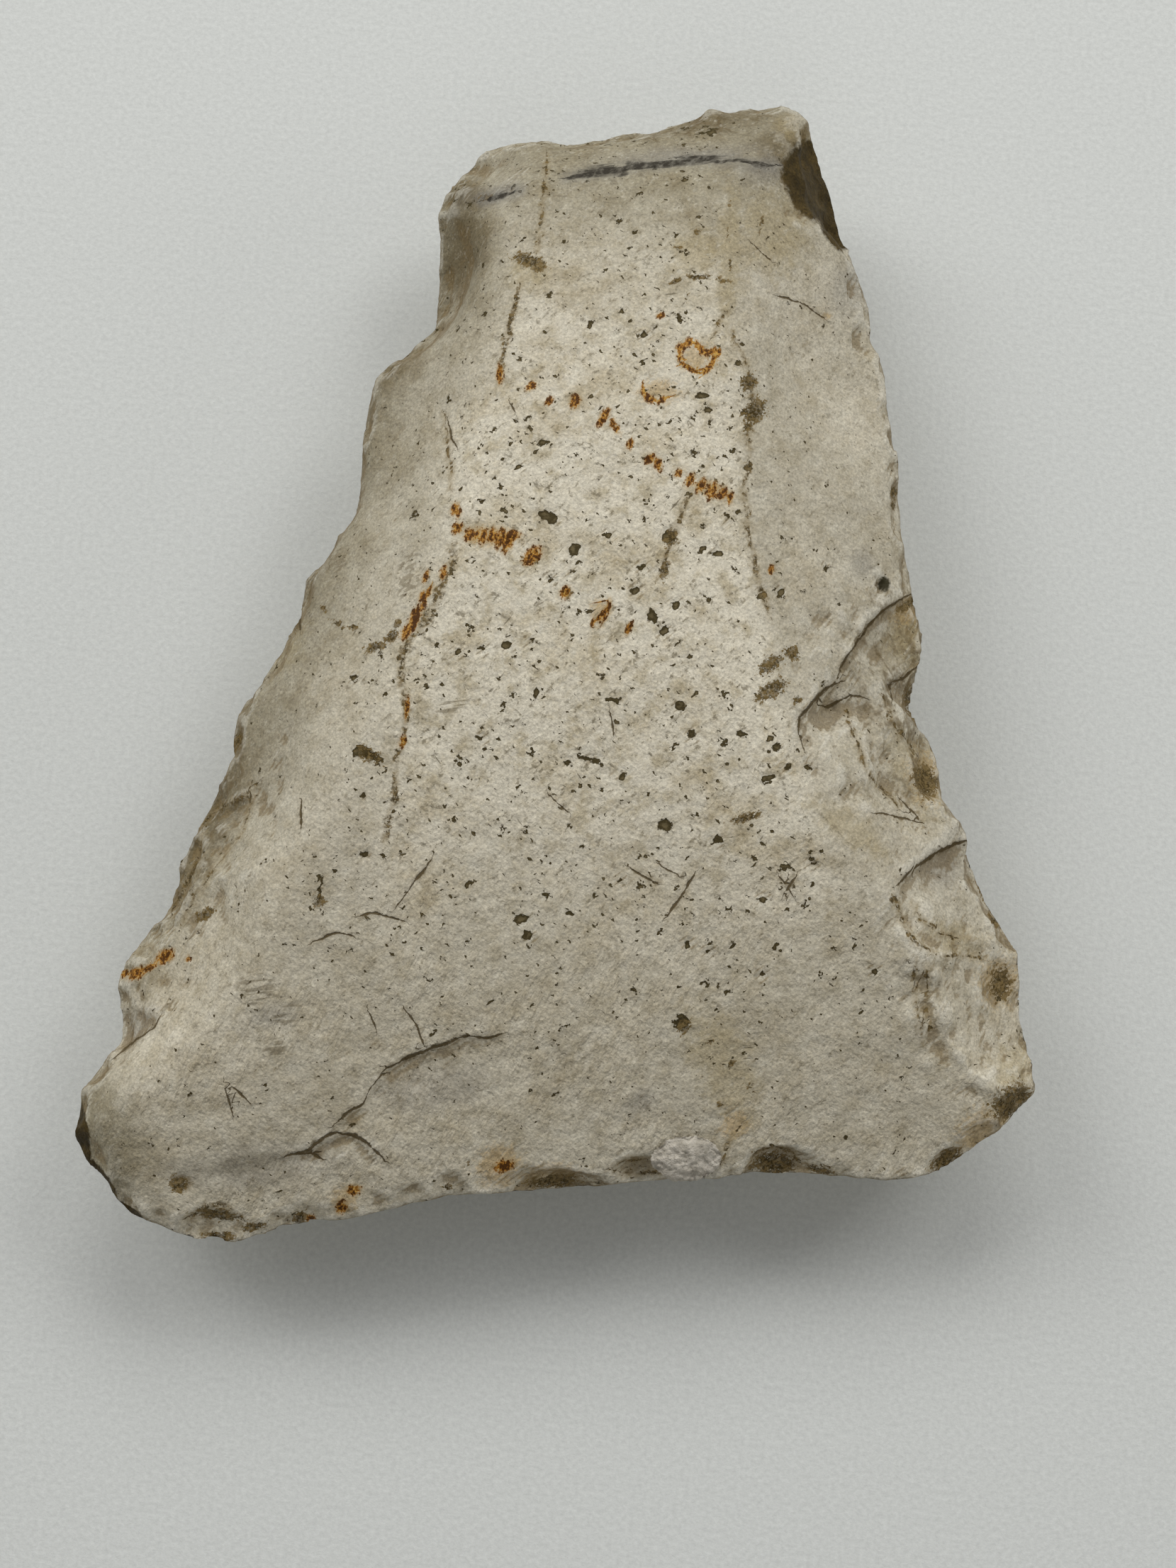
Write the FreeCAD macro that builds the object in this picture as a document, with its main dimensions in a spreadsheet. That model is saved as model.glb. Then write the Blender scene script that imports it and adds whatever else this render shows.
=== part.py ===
import FreeCAD, Part
import Sketcher
import math
import os

# Flint axe head, in millimetres, lying on its lower face.
# The origin is in the middle of the resting face. +Y points to the butt, -Y to the cutting edge,
# +X to the right when the upper face is seen with the butt at the top, and +Z up.
# The stone is one piece: a blank bounded by its outline, its side profile and four rounded flanks,
# with every flake scar taken out of it. A crust of chalk sticks to the cutting edge.

# Driving sizes
sizes = {
    # length from butt to cutting edge, and width across the cutting edge
    "axe_length": 92,
    "axe_width": 70.8,
    # heights from the plane of the rim up to the upper belly and down to the lower belly
    "upper_rise": 10.2,
    "lower_rise": 10.6,
    # what grinding took off the lower belly to leave the flat that the stone rests on
    "facet_depth": 0.7,
    # thickness of the side and butt rims before flakes thin them, and of the cutting edge
    "rim_thickness": 2.2,
    "edge_thickness": 1.1,
    # height lost from the belly to the start of the butt bevel, on the two faces
    "upper_butt_drop": 4.2,
    "lower_butt_drop": 4.6,
    # rounding of the flanks across the stone, and how steeply they meet the rim
    "flank_radius": 42,
    "left_flank_slope": 47,
    "right_flank_slope": 41,
    "lower_flank_slope": 46,
    # turn of the cutting edge and the butt, seen from above
    "edge_skew": 9.5,
    # radii of the single scars that show: long flank scars, edge scars and small chips
    "flank_scar_radius": 30,
    "edge_scar_radius": 11,
    "chip_radius": 3.2,
    # how deep each of them bites
    "flank_scar_depth": 0.8,
    "edge_scar_depth": 1.1,
    "chip_depth": 0.5,
    # the crust: length along the edge, width across it, and how far it stands proud
    "crust_length": 5.4,
    "crust_width": 3.8,
    "crust_height": 0.7,
}

# Outline from above, clockwise, as shares of the width and the length. Each row is one cusp, the
# bow of the hollow that runs from it to the next cusp, as a share of the distance between them,
# and the radius of the upper and the lower flake scar along that hollow, as shares of the same
# distance. Zero stands for a straight stretch, or for no scar.
butt_shares = [
    (-0.163, 0.441, -0.08, 0.9, 1.1),
    (-0.106, 0.453, 0.00, 1.2, 0.0),
    (0.000, 0.463, 0.00, 1.1, 1.2),
    (0.088, 0.491, -0.04, 1.2, 0.0),
    (0.158, 0.500, -0.10, 0.0, 1.0),
]
right_shares = [
    (0.200, 0.484, 0.00, 0.0, 1.0),
    (0.240, 0.420, -0.05, 0.0, 0.0),
    (0.263, 0.354, -0.09, 1.1, 1.0),
    (0.283, 0.295, -0.10, 1.0, 0.0),
    (0.304, 0.243, 0.00, 1.1, 1.0),
    (0.323, 0.187, 0.00, 1.0, 0.0),
    (0.331, 0.117, 0.00, 1.1, 1.0),
    (0.361, 0.045, 0.00, 0.0, 1.1),
    (0.353, -0.021, 0.00, 0.0, 1.1),
    (0.382, -0.062, 0.00, 1.0, 0.0),
    (0.387, -0.099, 0.00, 0.0, 1.1),
    (0.415, -0.126, 0.00, 1.1, 1.1),
    (0.446, -0.186, -0.12, 0.0, 1.0),
    (0.480, -0.213, 0.00, 1.0, 0.0),
    (0.483, -0.272, -0.06, 1.1, 1.0),
    (0.500, -0.330, 0.00, 0.0, 1.1),
]
blade_shares = [
    (0.461, -0.365, 0.00, 1.1, 0.0),
    (0.404, -0.400, -0.06, 0.0, 1.2),
    (0.311, -0.409, 0.00, 0.0, 0.0),
    (0.212, -0.411, -0.04, 0.0, 1.1),
    (0.124, -0.420, 0.00, 0.0, 0.0),
    (0.017, -0.436, 0.00, 0.0, 1.0),
    (-0.105, -0.446, 0.00, 0.0, 0.0),
    (-0.212, -0.471, 0.00, 0.0, 1.2),
    (-0.275, -0.480, -0.04, 0.0, 0.0),
    (-0.346, -0.500, 0.00, 0.0, 1.1),
    (-0.418, -0.483, -0.16, 1.1, 1.0),
    (-0.460, -0.452, -0.13, 1.1, 0.0),
]
left_shares = [
    (-0.500, -0.417, 0.00, 1.1, 1.1),
    (-0.499, -0.385, 0.00, 1.1, 0.0),
    (-0.467, -0.341, 0.00, 1.1, 1.0),
    (-0.474, -0.291, -0.05, 1.0, 0.0),
    (-0.430, -0.239, 0.00, 1.1, 1.1),
    (-0.420, -0.195, 0.00, 1.0, 0.0),
    (-0.375, -0.104, -0.06, 1.0, 1.0),
    (-0.369, -0.061, 0.00, 1.1, 0.0),
    (-0.321, 0.011, 0.00, 1.1, 1.1),
    (-0.314, 0.053, 0.00, 1.0, 0.0),
    (-0.283, 0.087, -0.04, 1.1, 1.0),
    (-0.264, 0.133, -0.05, 1.0, 0.0),
    (-0.269, 0.170, 0.00, 1.1, 1.1),
    (-0.260, 0.226, -0.04, 1.0, 1.0),
    (-0.198, 0.280, 0.00, 1.1, 0.0),
    (-0.204, 0.372, -0.10, 0.0, 1.1),
    (-0.198, 0.408, 0.00, 1.0, 0.0),
]

# How steeply the scars of each stretch fall to the rim, in degrees
butt_scar_slope = 44
side_scar_slope = 50
blade_scar_slope = 34

# Half the thickness that the scars leave at the thin of the rim, as a share of its thickness
thin_rim_share = 0.18

# Places along the side profile, as shares of the length, from the edge to the butt
nose_share = 0.50
edge_share = 0.437
upper_belly_share = 0.035
lower_belly_share = -0.02
upper_bevel_share = 0.398
lower_bevel_share = 0.405
butt_end_share = 0.482

# The two rim lines that the flanks spring from: a point by the butt and a point by the blade
left_rim_shares = ((-0.191, 0.391), (-0.473, -0.326))
right_rim_shares = ((0.240, 0.420), (0.492, -0.304))

# Single scars that show on the upper face. Each row is the deepest point, as shares of the width,
# the length and the upper rise, the way the flake came off and how steeply, in degrees, and the
# radius and the depth, as shares of the named ones.
flank_scar_shares = [
    # deep flakes off the right side, one at the middle and two below it
    (0.350, 0.012, 0.30, 10, 37, 0.67, 1.5),
    (0.290, -0.041, 0.62, 12, 28, 0.47, 0.95),
    (0.349, -0.074, 0.43, 10, 34, 0.67, 1.2),
    # two flakes by the right end of the cutting edge, the lower one rippled
    (0.417, -0.174, 0.27, 15, 37, 0.67, 0.95),
    (0.452, -0.266, 0.255, 4, 37, 0.67, 1.25),
    # smoother flakes ground nearly away on the left side
    (-0.350, -0.120, 0.35, 168, 38, 1.10, 0.6),
    (-0.400, -0.270, 0.36, 170, 32, 1.00, 0.6),
    # flat flakes by the butt
    (0.215, 0.250, 0.45, 12, 34, 1.30, 0.4),
    (-0.205, 0.160, 0.50, 165, 38, 1.20, 0.4),
]
edge_scar_shares = [
    # hollow wall of the notch in the left side, near the butt
    (-0.185, 0.320, 0.22, 176, 62, 0.90, 1.3),
    # left and right corners of the butt
    (-0.150, 0.415, 0.28, 130, 48, 0.50, 0.7),
    (0.226, 0.405, 0.27, 22, 58, 0.95, 1.0),
    # steps on the right side
    (0.356, -0.013, 0.30, 14, 42, 0.45, 1.45),
    (0.372, -0.060, 0.20, 14, 46, 0.70, 0.9),
    (0.425, -0.165, 0.22, 24, 42, 1.00, 0.9),
    (0.480, -0.345, 0.18, -20, 46, 0.70, 0.8),
    # left side, down to the corner of the blade
    (-0.385, -0.140, 0.18, 160, 48, 0.80, 0.7),
    (-0.415, -0.190, 0.20, 165, 46, 0.80, 0.8),
    (-0.455, -0.330, 0.20, 165, 44, 0.60, 0.8),
    (-0.458, -0.468, 0.10, -130, 60, 1.20, 0.6),
]
chip_shares = [
    (0.235, -0.404, 0.10, -82, 40, 1.1, 1.2),
    (0.275, -0.408, 0.06, -80, 44, 0.7, 0.9),
    (0.408, -0.395, 0.08, -60, 44, 0.8, 1.0),
    (0.004, -0.430, 0.08, -80, 44, 0.8, 1.2),
    (0.095, -0.415, 0.06, -80, 40, 0.8, 0.8),
    (-0.245, -0.470, 0.06, -78, 42, 0.7, 0.9),
    (-0.295, -0.485, 0.06, -80, 42, 0.7, 1.0),
    (-0.345, -0.490, 0.06, -88, 42, 1.0, 1.2),
]

# Flat flakes on the lower face, taken off from both sides before it was ground. The same columns,
# with the third one a share of the lower rise.
lower_scar_shares = [
    (-0.170, 0.330, 0.42, 165, 34, 0.70, 1.0),
    (-0.215, 0.210, 0.46, 168, 36, 0.80, 1.1),
    (-0.245, 0.090, 0.48, 166, 36, 0.90, 1.2),
    (-0.300, -0.030, 0.50, 164, 35, 0.90, 1.1),
    (-0.345, -0.150, 0.46, 167, 34, 0.90, 1.2),
    (-0.385, -0.270, 0.40, 170, 32, 0.90, 1.0),
    (0.195, 0.310, 0.42, 14, 34, 0.75, 1.0),
    (0.235, 0.180, 0.46, 12, 36, 0.85, 1.2),
    (0.270, 0.050, 0.48, 14, 36, 0.90, 1.1),
    (0.310, -0.080, 0.48, 13, 35, 0.90, 1.2),
    (0.360, -0.200, 0.44, 12, 34, 0.90, 1.0),
]

# The middle of the crust's seat, as shares of the width and the length
crust_place_share = (0.138, -0.403)

doc = FreeCAD.newDocument("flint_axe_head")
sheet = doc.addObject("Spreadsheet::Sheet", "sizes")
for row, (alias, number) in enumerate(sizes.items(), start=1):
    sheet.set(f"A{row}", alias)
    sheet.set(f"B{row}", str(number))
    sheet.setAlias(f"B{row}", alias)
doc.recompute()


# Text of one expression: a share of a named size
def part_of(alias, share):
    return f"(sizes.{alias} * {share:.6g})"


rim_height = "(sizes.lower_rise - sizes.facet_depth)"
length = sizes["axe_length"]
width = sizes["axe_width"]
rim_z = sizes["lower_rise"] - sizes["facet_depth"]


# Outline of the stone from above
def bow_ratio(bow):
    return 1 / (8 * abs(bow)) + abs(bow) / 2


def distance_text(step):
    return f"sqrt({part_of('axe_width', step[0])}^2 + {part_of('axe_length', step[1])}^2)"


def fixed_places(number, end, place, texts):
    rows = []
    if texts[0] == "0":
        rows.append((Sketcher.Constraint("PointOnObject", number, end, -2), None))
    else:
        rows.append((Sketcher.Constraint("DistanceX", -1, 1, number, end, place.x), texts[0]))
    rows.append((Sketcher.Constraint("DistanceY", -1, 1, number, end, place.y), texts[1]))
    return rows


# A closed sketch through corners. Each corner is its place, the same place in text, and the radius
# of the arc that leaves it, with its text, or nothing for a straight line. The side of the arc's
# belly is +1 to the left of the way round and -1 to the right.
def close_sketch(sketch, corners):
    count = len(corners)
    edges = []
    for number, corner in enumerate(corners):
        start = corner["place"]
        end = corners[(number + 1) % count]["place"]
        if corner["radius"] is None:
            edges.append(Part.LineSegment(start, end))
            continue
        chord = end - start
        rise = corner["radius"] - math.sqrt(corner["radius"] ** 2 - (chord.Length / 2) ** 2)
        left = FreeCAD.Vector(-chord.y, chord.x, 0).normalize()
        edges.append(Part.Arc(start, (start + end) / 2 + left * (rise * corner["side"]), end))
    sketch.addGeometry(edges, False)
    ends = []
    for number, corner in enumerate(corners):
        first = (sketch.getPoint(number, 1) - corner["place"]).Length
        last = (sketch.getPoint(number, 2) - corner["place"]).Length
        ends.append((1, 2) if first < last else (2, 1))
    rows = []
    for number, corner in enumerate(corners):
        following = (number + 1) % count
        meeting = (number, ends[number][1], following, ends[following][0])
        rows.append((Sketcher.Constraint("Coincident", *meeting), None))
        rows += fixed_places(number, ends[number][0], corner["place"], corner["texts"])
        if corner["radius"] is not None:
            radius = Sketcher.Constraint("Radius", number, corner["radius"])
            rows.append((radius, corner["radius_text"]))
    sketch.addConstraint([constraint for constraint, text in rows])
    for index, (constraint, text) in enumerate(rows):
        if text:
            sketch.setExpression(f"Constraints[{index}]", text)


def plane_of(body, role):
    return [item for item in body.Origin.OriginFeatures if item.Role == role][0]


def sketch_on(body, role, name):
    sketch = body.newObject("Sketcher::SketchObject", name)
    sketch.AttachmentSupport = [(plane_of(body, role), "")]
    sketch.MapMode = "FlatFace"
    return sketch


outline = butt_shares + right_shares + blade_shares + left_shares
outline_corners = []
for number, (across, along, bow, upper, lower) in enumerate(outline):
    following = outline[(number + 1) % len(outline)]
    step = (following[0] - across, following[1] - along)
    corner = {
        "place": FreeCAD.Vector(width * across, length * along, 0),
        "texts": (part_of("axe_width", across) if across else "0", part_of("axe_length", along)),
        "radius": None,
        "side": -1,
    }
    if bow:
        corner["side"] = -1 if bow > 0 else 1
        corner["radius"] = math.hypot(width * step[0], length * step[1]) * bow_ratio(bow)
        corner["radius_text"] = f"{distance_text(step)} * {bow_ratio(bow):.6g}"
    outline_corners.append(corner)

outline_body = doc.addObject("PartDesign::Body", "outline_blank")
outline_sketch = sketch_on(outline_body, "XY_Plane", "outline_sketch")
close_sketch(outline_sketch, outline_corners)
outline_pad = outline_body.newObject("PartDesign::Pad", "outline_pad")
outline_pad.Profile = outline_sketch
outline_pad.setExpression("Length", "sizes.lower_rise + sizes.upper_rise")

# Side profile: the nose, the rise from the edge to the belly, the fall to the butt, and the bevel
half_rim = "sizes.rim_thickness / 2"
half_edge = "sizes.edge_thickness / 2"


def corner_at(along, height, height_text, radius=None, radius_text=None):
    return {
        "place": FreeCAD.Vector(length * along, height, 0),
        "texts": (part_of("axe_length", along), height_text),
        "radius": radius,
        "radius_text": radius_text,
        "side": 1,
    }


# Radius of the arc that leaves its top level and falls by a drop over a run
def fall_radius(run, drop):
    return (run ** 2 + drop ** 2) / (2 * drop)


def fall_text(share, drop):
    return f"({part_of('axe_length', share)}^2 + ({drop})^2) / (2 * ({drop}))"


half_rim_size = sizes["rim_thickness"] / 2
half_edge_size = sizes["edge_thickness"] / 2
upper_top = rim_z + sizes["upper_rise"]
lower_low = -sizes["facet_depth"]
upper_blade_drop = sizes["upper_rise"] - half_edge_size
lower_blade_drop = sizes["lower_rise"] - half_edge_size
upper_top_text = f"{rim_height} + sizes.upper_rise"
upper_blade_text = f"(sizes.upper_rise - {half_edge})"
lower_blade_text = f"(sizes.lower_rise - {half_edge})"
blade_fall_text = fall_text(edge_share + upper_belly_share, upper_blade_text)
profile_corners = [
    corner_at(-nose_share, rim_z + half_edge_size / 2, f"{rim_height} + {half_edge} / 2"),
    corner_at(
        -edge_share, rim_z + half_edge_size, f"{rim_height} + {half_edge}",
        fall_radius(length * (edge_share + upper_belly_share), upper_blade_drop),
        blade_fall_text,
    ),
    corner_at(
        upper_belly_share, upper_top, upper_top_text,
        fall_radius(length * (upper_bevel_share - upper_belly_share), sizes["upper_butt_drop"]),
        fall_text(upper_bevel_share - upper_belly_share, "sizes.upper_butt_drop"),
    ),
    corner_at(
        upper_bevel_share, upper_top - sizes["upper_butt_drop"],
        f"{upper_top_text} - sizes.upper_butt_drop",
    ),
    corner_at(butt_end_share, rim_z + half_rim_size, f"{rim_height} + {half_rim}"),
    corner_at(butt_end_share, rim_z - half_rim_size, f"{rim_height} - {half_rim}"),
    corner_at(
        lower_bevel_share, lower_low + sizes["lower_butt_drop"],
        "sizes.lower_butt_drop - sizes.facet_depth",
        fall_radius(length * (lower_bevel_share - lower_belly_share), sizes["lower_butt_drop"]),
        fall_text(lower_bevel_share - lower_belly_share, "sizes.lower_butt_drop"),
    ),
    corner_at(
        lower_belly_share, lower_low, "-sizes.facet_depth",
        fall_radius(length * (edge_share + lower_belly_share), lower_blade_drop),
        fall_text(edge_share + lower_belly_share, lower_blade_text),
    ),
    corner_at(-edge_share, rim_z - half_edge_size, f"{rim_height} - {half_edge}"),
    corner_at(-nose_share, rim_z - half_edge_size / 2, f"{rim_height} - {half_edge} / 2"),
]
profile_body = doc.addObject("PartDesign::Body", "profile_blank")
profile_sketch = sketch_on(profile_body, "YZ_Plane", "profile_sketch")
close_sketch(profile_sketch, profile_corners)
profile_pad = profile_body.newObject("PartDesign::Pad", "profile_pad")
profile_pad.Profile = profile_sketch
profile_pad.Midplane = True
profile_pad.setExpression("Length", "2 * sizes.axe_width")
profile_body.setExpression("Placement.Rotation.Yaw", "sizes.edge_skew")

# The outline blank starts at the resting plane, so meeting the profile also leaves the flat
blank = doc.addObject("Part::Common", "blank")
blank.Base = outline_body
blank.Tool = profile_body


# Flanks: what lies outside a long rounded surface that springs from one rim line. The surface is
# part of a cylinder along the rim line, and the block around it ends level with the rim.
def flank_tool(name, rim_shares, side, slope_alias, face):
    (butt_across, butt_along), (blade_across, blade_along) = rim_shares
    run = part_of("axe_width", butt_across - blade_across)
    climb = part_of("axe_length", butt_along - blade_along)
    rim_length = f"sqrt({run}^2 + {climb}^2)"
    turn = f"atan2(-{run}; {climb})"
    # from the rim in to the line under the crest of the surface, and from there down to its axis
    inward = f"(sizes.flank_radius * sin(sizes.{slope_alias}))"
    sink = f"(sizes.flank_radius * cos(sizes.{slope_alias}) - {half_rim})"
    # the tool starts this far before the butt point, towards the blade, to overrun both ends
    back = "(1.5 * sizes.axe_length)"
    start_x = f"{part_of('axe_width', butt_across)} - {back} * {run} / {rim_length}"
    start_y = f"{part_of('axe_length', butt_along)} - {back} * {climb} / {rim_length}"

    surface = doc.addObject("Part::Cylinder", name + "_surface")
    surface.setExpression("Radius", "sizes.flank_radius")
    surface.setExpression("Height", "3 * sizes.axe_length")
    surface.setExpression("Placement.Base.x", f"{start_x} - {side} * {inward} * {climb} / {rim_length}")
    surface.setExpression("Placement.Base.y", f"{start_y} + {side} * {inward} * {run} / {rim_length}")
    surface.setExpression("Placement.Base.z", f"{rim_height} - {face} * {sink}")
    surface.setExpression("Placement.Rotation.Roll", "-90")
    surface.setExpression("Placement.Rotation.Yaw", turn)

    block = doc.addObject("Part::Box", name + "_block")
    block.setExpression("Length", f"2 * {inward}")
    block.setExpression("Width", "3 * sizes.axe_length")
    block.setExpression("Height", "2 * sizes.flank_radius")
    block.setExpression("Placement.Base.x", f"{start_x} - {inward} * {climb} / {rim_length}")
    block.setExpression("Placement.Base.y", f"{start_y} + {inward} * {run} / {rim_length}")
    level = rim_height if face > 0 else f"{rim_height} - 2 * sizes.flank_radius"
    block.setExpression("Placement.Base.z", level)
    block.setExpression("Placement.Rotation.Yaw", turn)

    tool = doc.addObject("Part::Cut", name)
    tool.Base = block
    tool.Tool = surface
    return tool


flanks = [
    flank_tool("left_upper_flank", left_rim_shares, -1, "left_flank_slope", 1),
    flank_tool("right_upper_flank", right_rim_shares, 1, "right_flank_slope", 1),
    flank_tool("left_lower_flank", left_rim_shares, -1, "lower_flank_slope", -1),
    flank_tool("right_lower_flank", right_rim_shares, 1, "lower_flank_slope", -1),
]
flank_group = doc.addObject("Part::MultiFuse", "flank_group")
flank_group.Shapes = flanks
flanked = doc.addObject("Part::Cut", "flanked_blank")
flanked.Base = blank
flanked.Tool = flank_group


# A flake scar is the hollow that a ball leaves. The ball touches the scar's deepest point, and
# lies off it along a direction that leans away from the upright by the slope.
def scar_ball(name, point, outward, slope, radius, face):
    ball = doc.addObject("Part::Sphere", name)
    ball.setExpression("Radius", radius)
    side_step = f"({radius}) * sin({slope})"
    ball.setExpression("Placement.Base.x", f"{point[0]} + ({outward[0]}) * {side_step}")
    ball.setExpression("Placement.Base.y", f"{point[1]} + ({outward[1]}) * {side_step}")
    ball.setExpression("Placement.Base.z", f"{point[2]} + {face} * ({radius}) * cos({slope})")
    ball.setExpression("Placement.Rotation.Yaw", f"atan2({outward[1]}; {outward[0]})")
    return ball


# Scars along the rim, one on each face of every hollow of the outline
def rim_scars(rows, first_number, slope, thickness_alias, label):
    balls = {1: [], -1: []}
    for number, (across, along, bow, upper, lower) in enumerate(rows):
        following = outline[(first_number + number + 1) % len(outline)]
        step = (following[0] - across, following[1] - along)
        chord = distance_text(step)
        outward = (
            f"-{part_of('axe_length', step[1])} / {chord}",
            f"{part_of('axe_width', step[0])} / {chord}",
        )
        middle_x = f"{part_of('axe_width', across + step[0] / 2)} - ({outward[0]}) * {chord} * {bow}"
        middle_y = f"{part_of('axe_length', along + step[1] / 2)} - ({outward[1]}) * {chord} * {bow}"
        for face, share in ((1, upper), (-1, lower)):
            if not share:
                continue
            thin = f"{rim_height} + {part_of(thickness_alias, face * thin_rim_share)}"
            name = f"{label}_scar_{number + 1}_{'upper' if face > 0 else 'lower'}"
            radius = f"({chord} * {share})"
            balls[face].append(
                scar_ball(name, (middle_x, middle_y, thin), outward, slope, radius, face)
            )
    return balls


# Scars placed one by one
def placed_scars(rows, rise, radius_alias, depth_alias, face, label):
    balls = []
    for number, (across, along, height, bearing, slope, radius, depth) in enumerate(rows):
        outward = (f"cos({bearing})", f"sin({bearing})")
        bite = part_of(depth_alias, depth)
        point = (
            f"{part_of('axe_width', across)} - {outward[0]} * sin({slope}) * {bite}",
            f"{part_of('axe_length', along)} - {outward[1]} * sin({slope}) * {bite}",
            f"{rim_height} + {face} * ({part_of(rise, height)} - cos({slope}) * {bite})",
        )
        name = f"{label}_{number + 1}"
        balls.append(scar_ball(name, point, outward, slope, part_of(radius_alias, radius), face))
    return balls


def take_out(base, balls, name):
    group = doc.addObject("Part::MultiFuse", name + "_balls")
    group.Shapes = balls
    cut = doc.addObject("Part::Cut", name)
    cut.Base = base
    cut.Tool = group
    return cut


starts = [0, len(butt_shares), len(butt_shares + right_shares), len(outline) - len(left_shares)]
stretches = [
    rim_scars(butt_shares, starts[0], butt_scar_slope, "rim_thickness", "butt"),
    rim_scars(right_shares, starts[1], side_scar_slope, "rim_thickness", "right"),
    rim_scars(blade_shares, starts[2], blade_scar_slope, "edge_thickness", "blade"),
    rim_scars(left_shares, starts[3], side_scar_slope, "rim_thickness", "left"),
]
flake_sizes = ("flank_scar_radius", "flank_scar_depth")
bite_sizes = ("edge_scar_radius", "edge_scar_depth")
chip_sizes = ("chip_radius", "chip_depth")
upper_flakes = placed_scars(flank_scar_shares, "upper_rise", *flake_sizes, 1, "flake")
lower_flakes = placed_scars(lower_scar_shares, "lower_rise", *flake_sizes, -1, "under_flake")
bites = placed_scars(edge_scar_shares, "upper_rise", *bite_sizes, 1, "bite")
chips = placed_scars(chip_shares, "upper_rise", *chip_sizes, 1, "chip")
stone = take_out(flanked, upper_flakes, "upper_flakes")
stone = take_out(stone, lower_flakes, "lower_flakes")
stone = take_out(stone, [ball for group in stretches for ball in group[1]], "upper_rim_scars")
stone = take_out(stone, [ball for group in stretches for ball in group[-1]], "lower_rim_scars")
stone = take_out(stone, bites + chips, "edge_scars")
stone.Label = "axe_head"

# Chalk crust on the cutting edge, cut to the stone that it sticks to. Its middle lies on the
# ground slope of the blade, at the height that the side profile has there.
crust_x = part_of("axe_width", crust_place_share[0])
crust_y = part_of("axe_length", crust_place_share[1])
crust_along = f"(cos(sizes.edge_skew) * {crust_y} - sin(sizes.edge_skew) * {crust_x})"
crust_run = f"({part_of('axe_length', upper_belly_share)} - {crust_along})"
blade_dip = f"({blade_fall_text} - sqrt(({blade_fall_text})^2 - {crust_run}^2))"
crust_lump = doc.addObject("Part::Ellipsoid", "crust_lump")
crust_lump.setExpression("Radius1", "sizes.crust_height")
crust_lump.setExpression("Radius2", "sizes.crust_length / 2")
crust_lump.setExpression("Radius3", "sizes.crust_width / 2")
crust_lump.setExpression("Placement.Base.x", crust_x)
crust_lump.setExpression("Placement.Base.y", crust_y)
crust_lump.setExpression("Placement.Base.z", f"{upper_top_text} - {blade_dip}")
crust_lump.setExpression("Placement.Rotation.Yaw", "sizes.edge_skew")
crust_lump.setExpression("Placement.Rotation.Roll", f"asin({crust_run} / ({blade_fall_text}))")
crust = doc.addObject("Part::Cut", "crust")
crust.Base = crust_lump
crust.Tool = stone
crust.Label = "chalk_crust"

doc.recompute()

# Every object has to be sound before anything is written
for item in doc.Objects:
    if any(word in item.State for word in ("Invalid", "Error")):
        raise RuntimeError(f"{item.Label} failed: {item.State}")
nodes = [stone, crust]
for node in nodes:
    if node.Shape.isNull() or not node.Shape.isValid():
        raise RuntimeError(f"{node.Label} has no sound shape")

os.makedirs("parts", exist_ok=True)
for node in nodes:
    node.Shape.exportStep(f"parts/{node.Label}.step")
    box = node.Shape.optimalBoundingBox(True, False)
    print(
        f"{node.Label}: {len(node.Shape.Solids)} solid, {node.Shape.Volume:.1f} mm3, "
        f"x {box.XMin:.2f} to {box.XMax:.2f}, y {box.YMin:.2f} to {box.YMax:.2f}, "
        f"z {box.ZMin:.2f} to {box.ZMax:.2f}"
    )
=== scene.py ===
import math
import random

import bmesh
import bpy
import numpy as np
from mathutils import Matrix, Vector, noise


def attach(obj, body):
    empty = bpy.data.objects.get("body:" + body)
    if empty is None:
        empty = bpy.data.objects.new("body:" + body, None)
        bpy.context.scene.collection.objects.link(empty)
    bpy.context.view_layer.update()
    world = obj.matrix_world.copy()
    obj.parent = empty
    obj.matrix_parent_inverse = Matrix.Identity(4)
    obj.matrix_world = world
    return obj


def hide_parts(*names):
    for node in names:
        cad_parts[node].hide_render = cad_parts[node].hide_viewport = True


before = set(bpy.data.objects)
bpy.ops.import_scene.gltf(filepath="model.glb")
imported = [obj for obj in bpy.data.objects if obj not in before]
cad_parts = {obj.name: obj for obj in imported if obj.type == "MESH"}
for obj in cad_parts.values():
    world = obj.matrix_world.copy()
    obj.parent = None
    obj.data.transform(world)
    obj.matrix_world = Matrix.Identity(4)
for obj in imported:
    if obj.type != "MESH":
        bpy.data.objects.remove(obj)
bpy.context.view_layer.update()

# Flint axe head, lying on its lower face. Lengths here are in millimetres, on the axes of the
# frame, and MM turns them into metres where an object is written. The butt is at +Y.
MM = 0.001

# The camera looks down on the stone. Places of marks are given as they are seen on one level, and
# a mark that lies higher or lower is shifted along the line of sight to the stone.
camera_azimuth = 4.1
camera_elevation = 80
camera_distance = 182.534
camera_target = (0.5707, -9.6696, 10.5)
camera_view_angle = 36
reading_level = 10.5
rim_level = 9.9

# The edge of the squares that a piece is made of
stone_square = 0.37
crust_square = 0.12


def direction(azimuth, elevation):
    a, e = math.radians(azimuth), math.radians(elevation)
    return np.array([math.sin(a) * math.cos(e), -math.cos(a) * math.cos(e), math.sin(e)])


camera_back = direction(camera_azimuth, camera_elevation)
camera_place = np.array(camera_target) + camera_back * camera_distance


# A mesh's rows as an array
def read(rows, name, width, kind=float):
    flat = np.empty(len(rows) * width, kind)
    rows.foreach_get(name, flat)
    return flat.reshape(-1, width)


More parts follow.
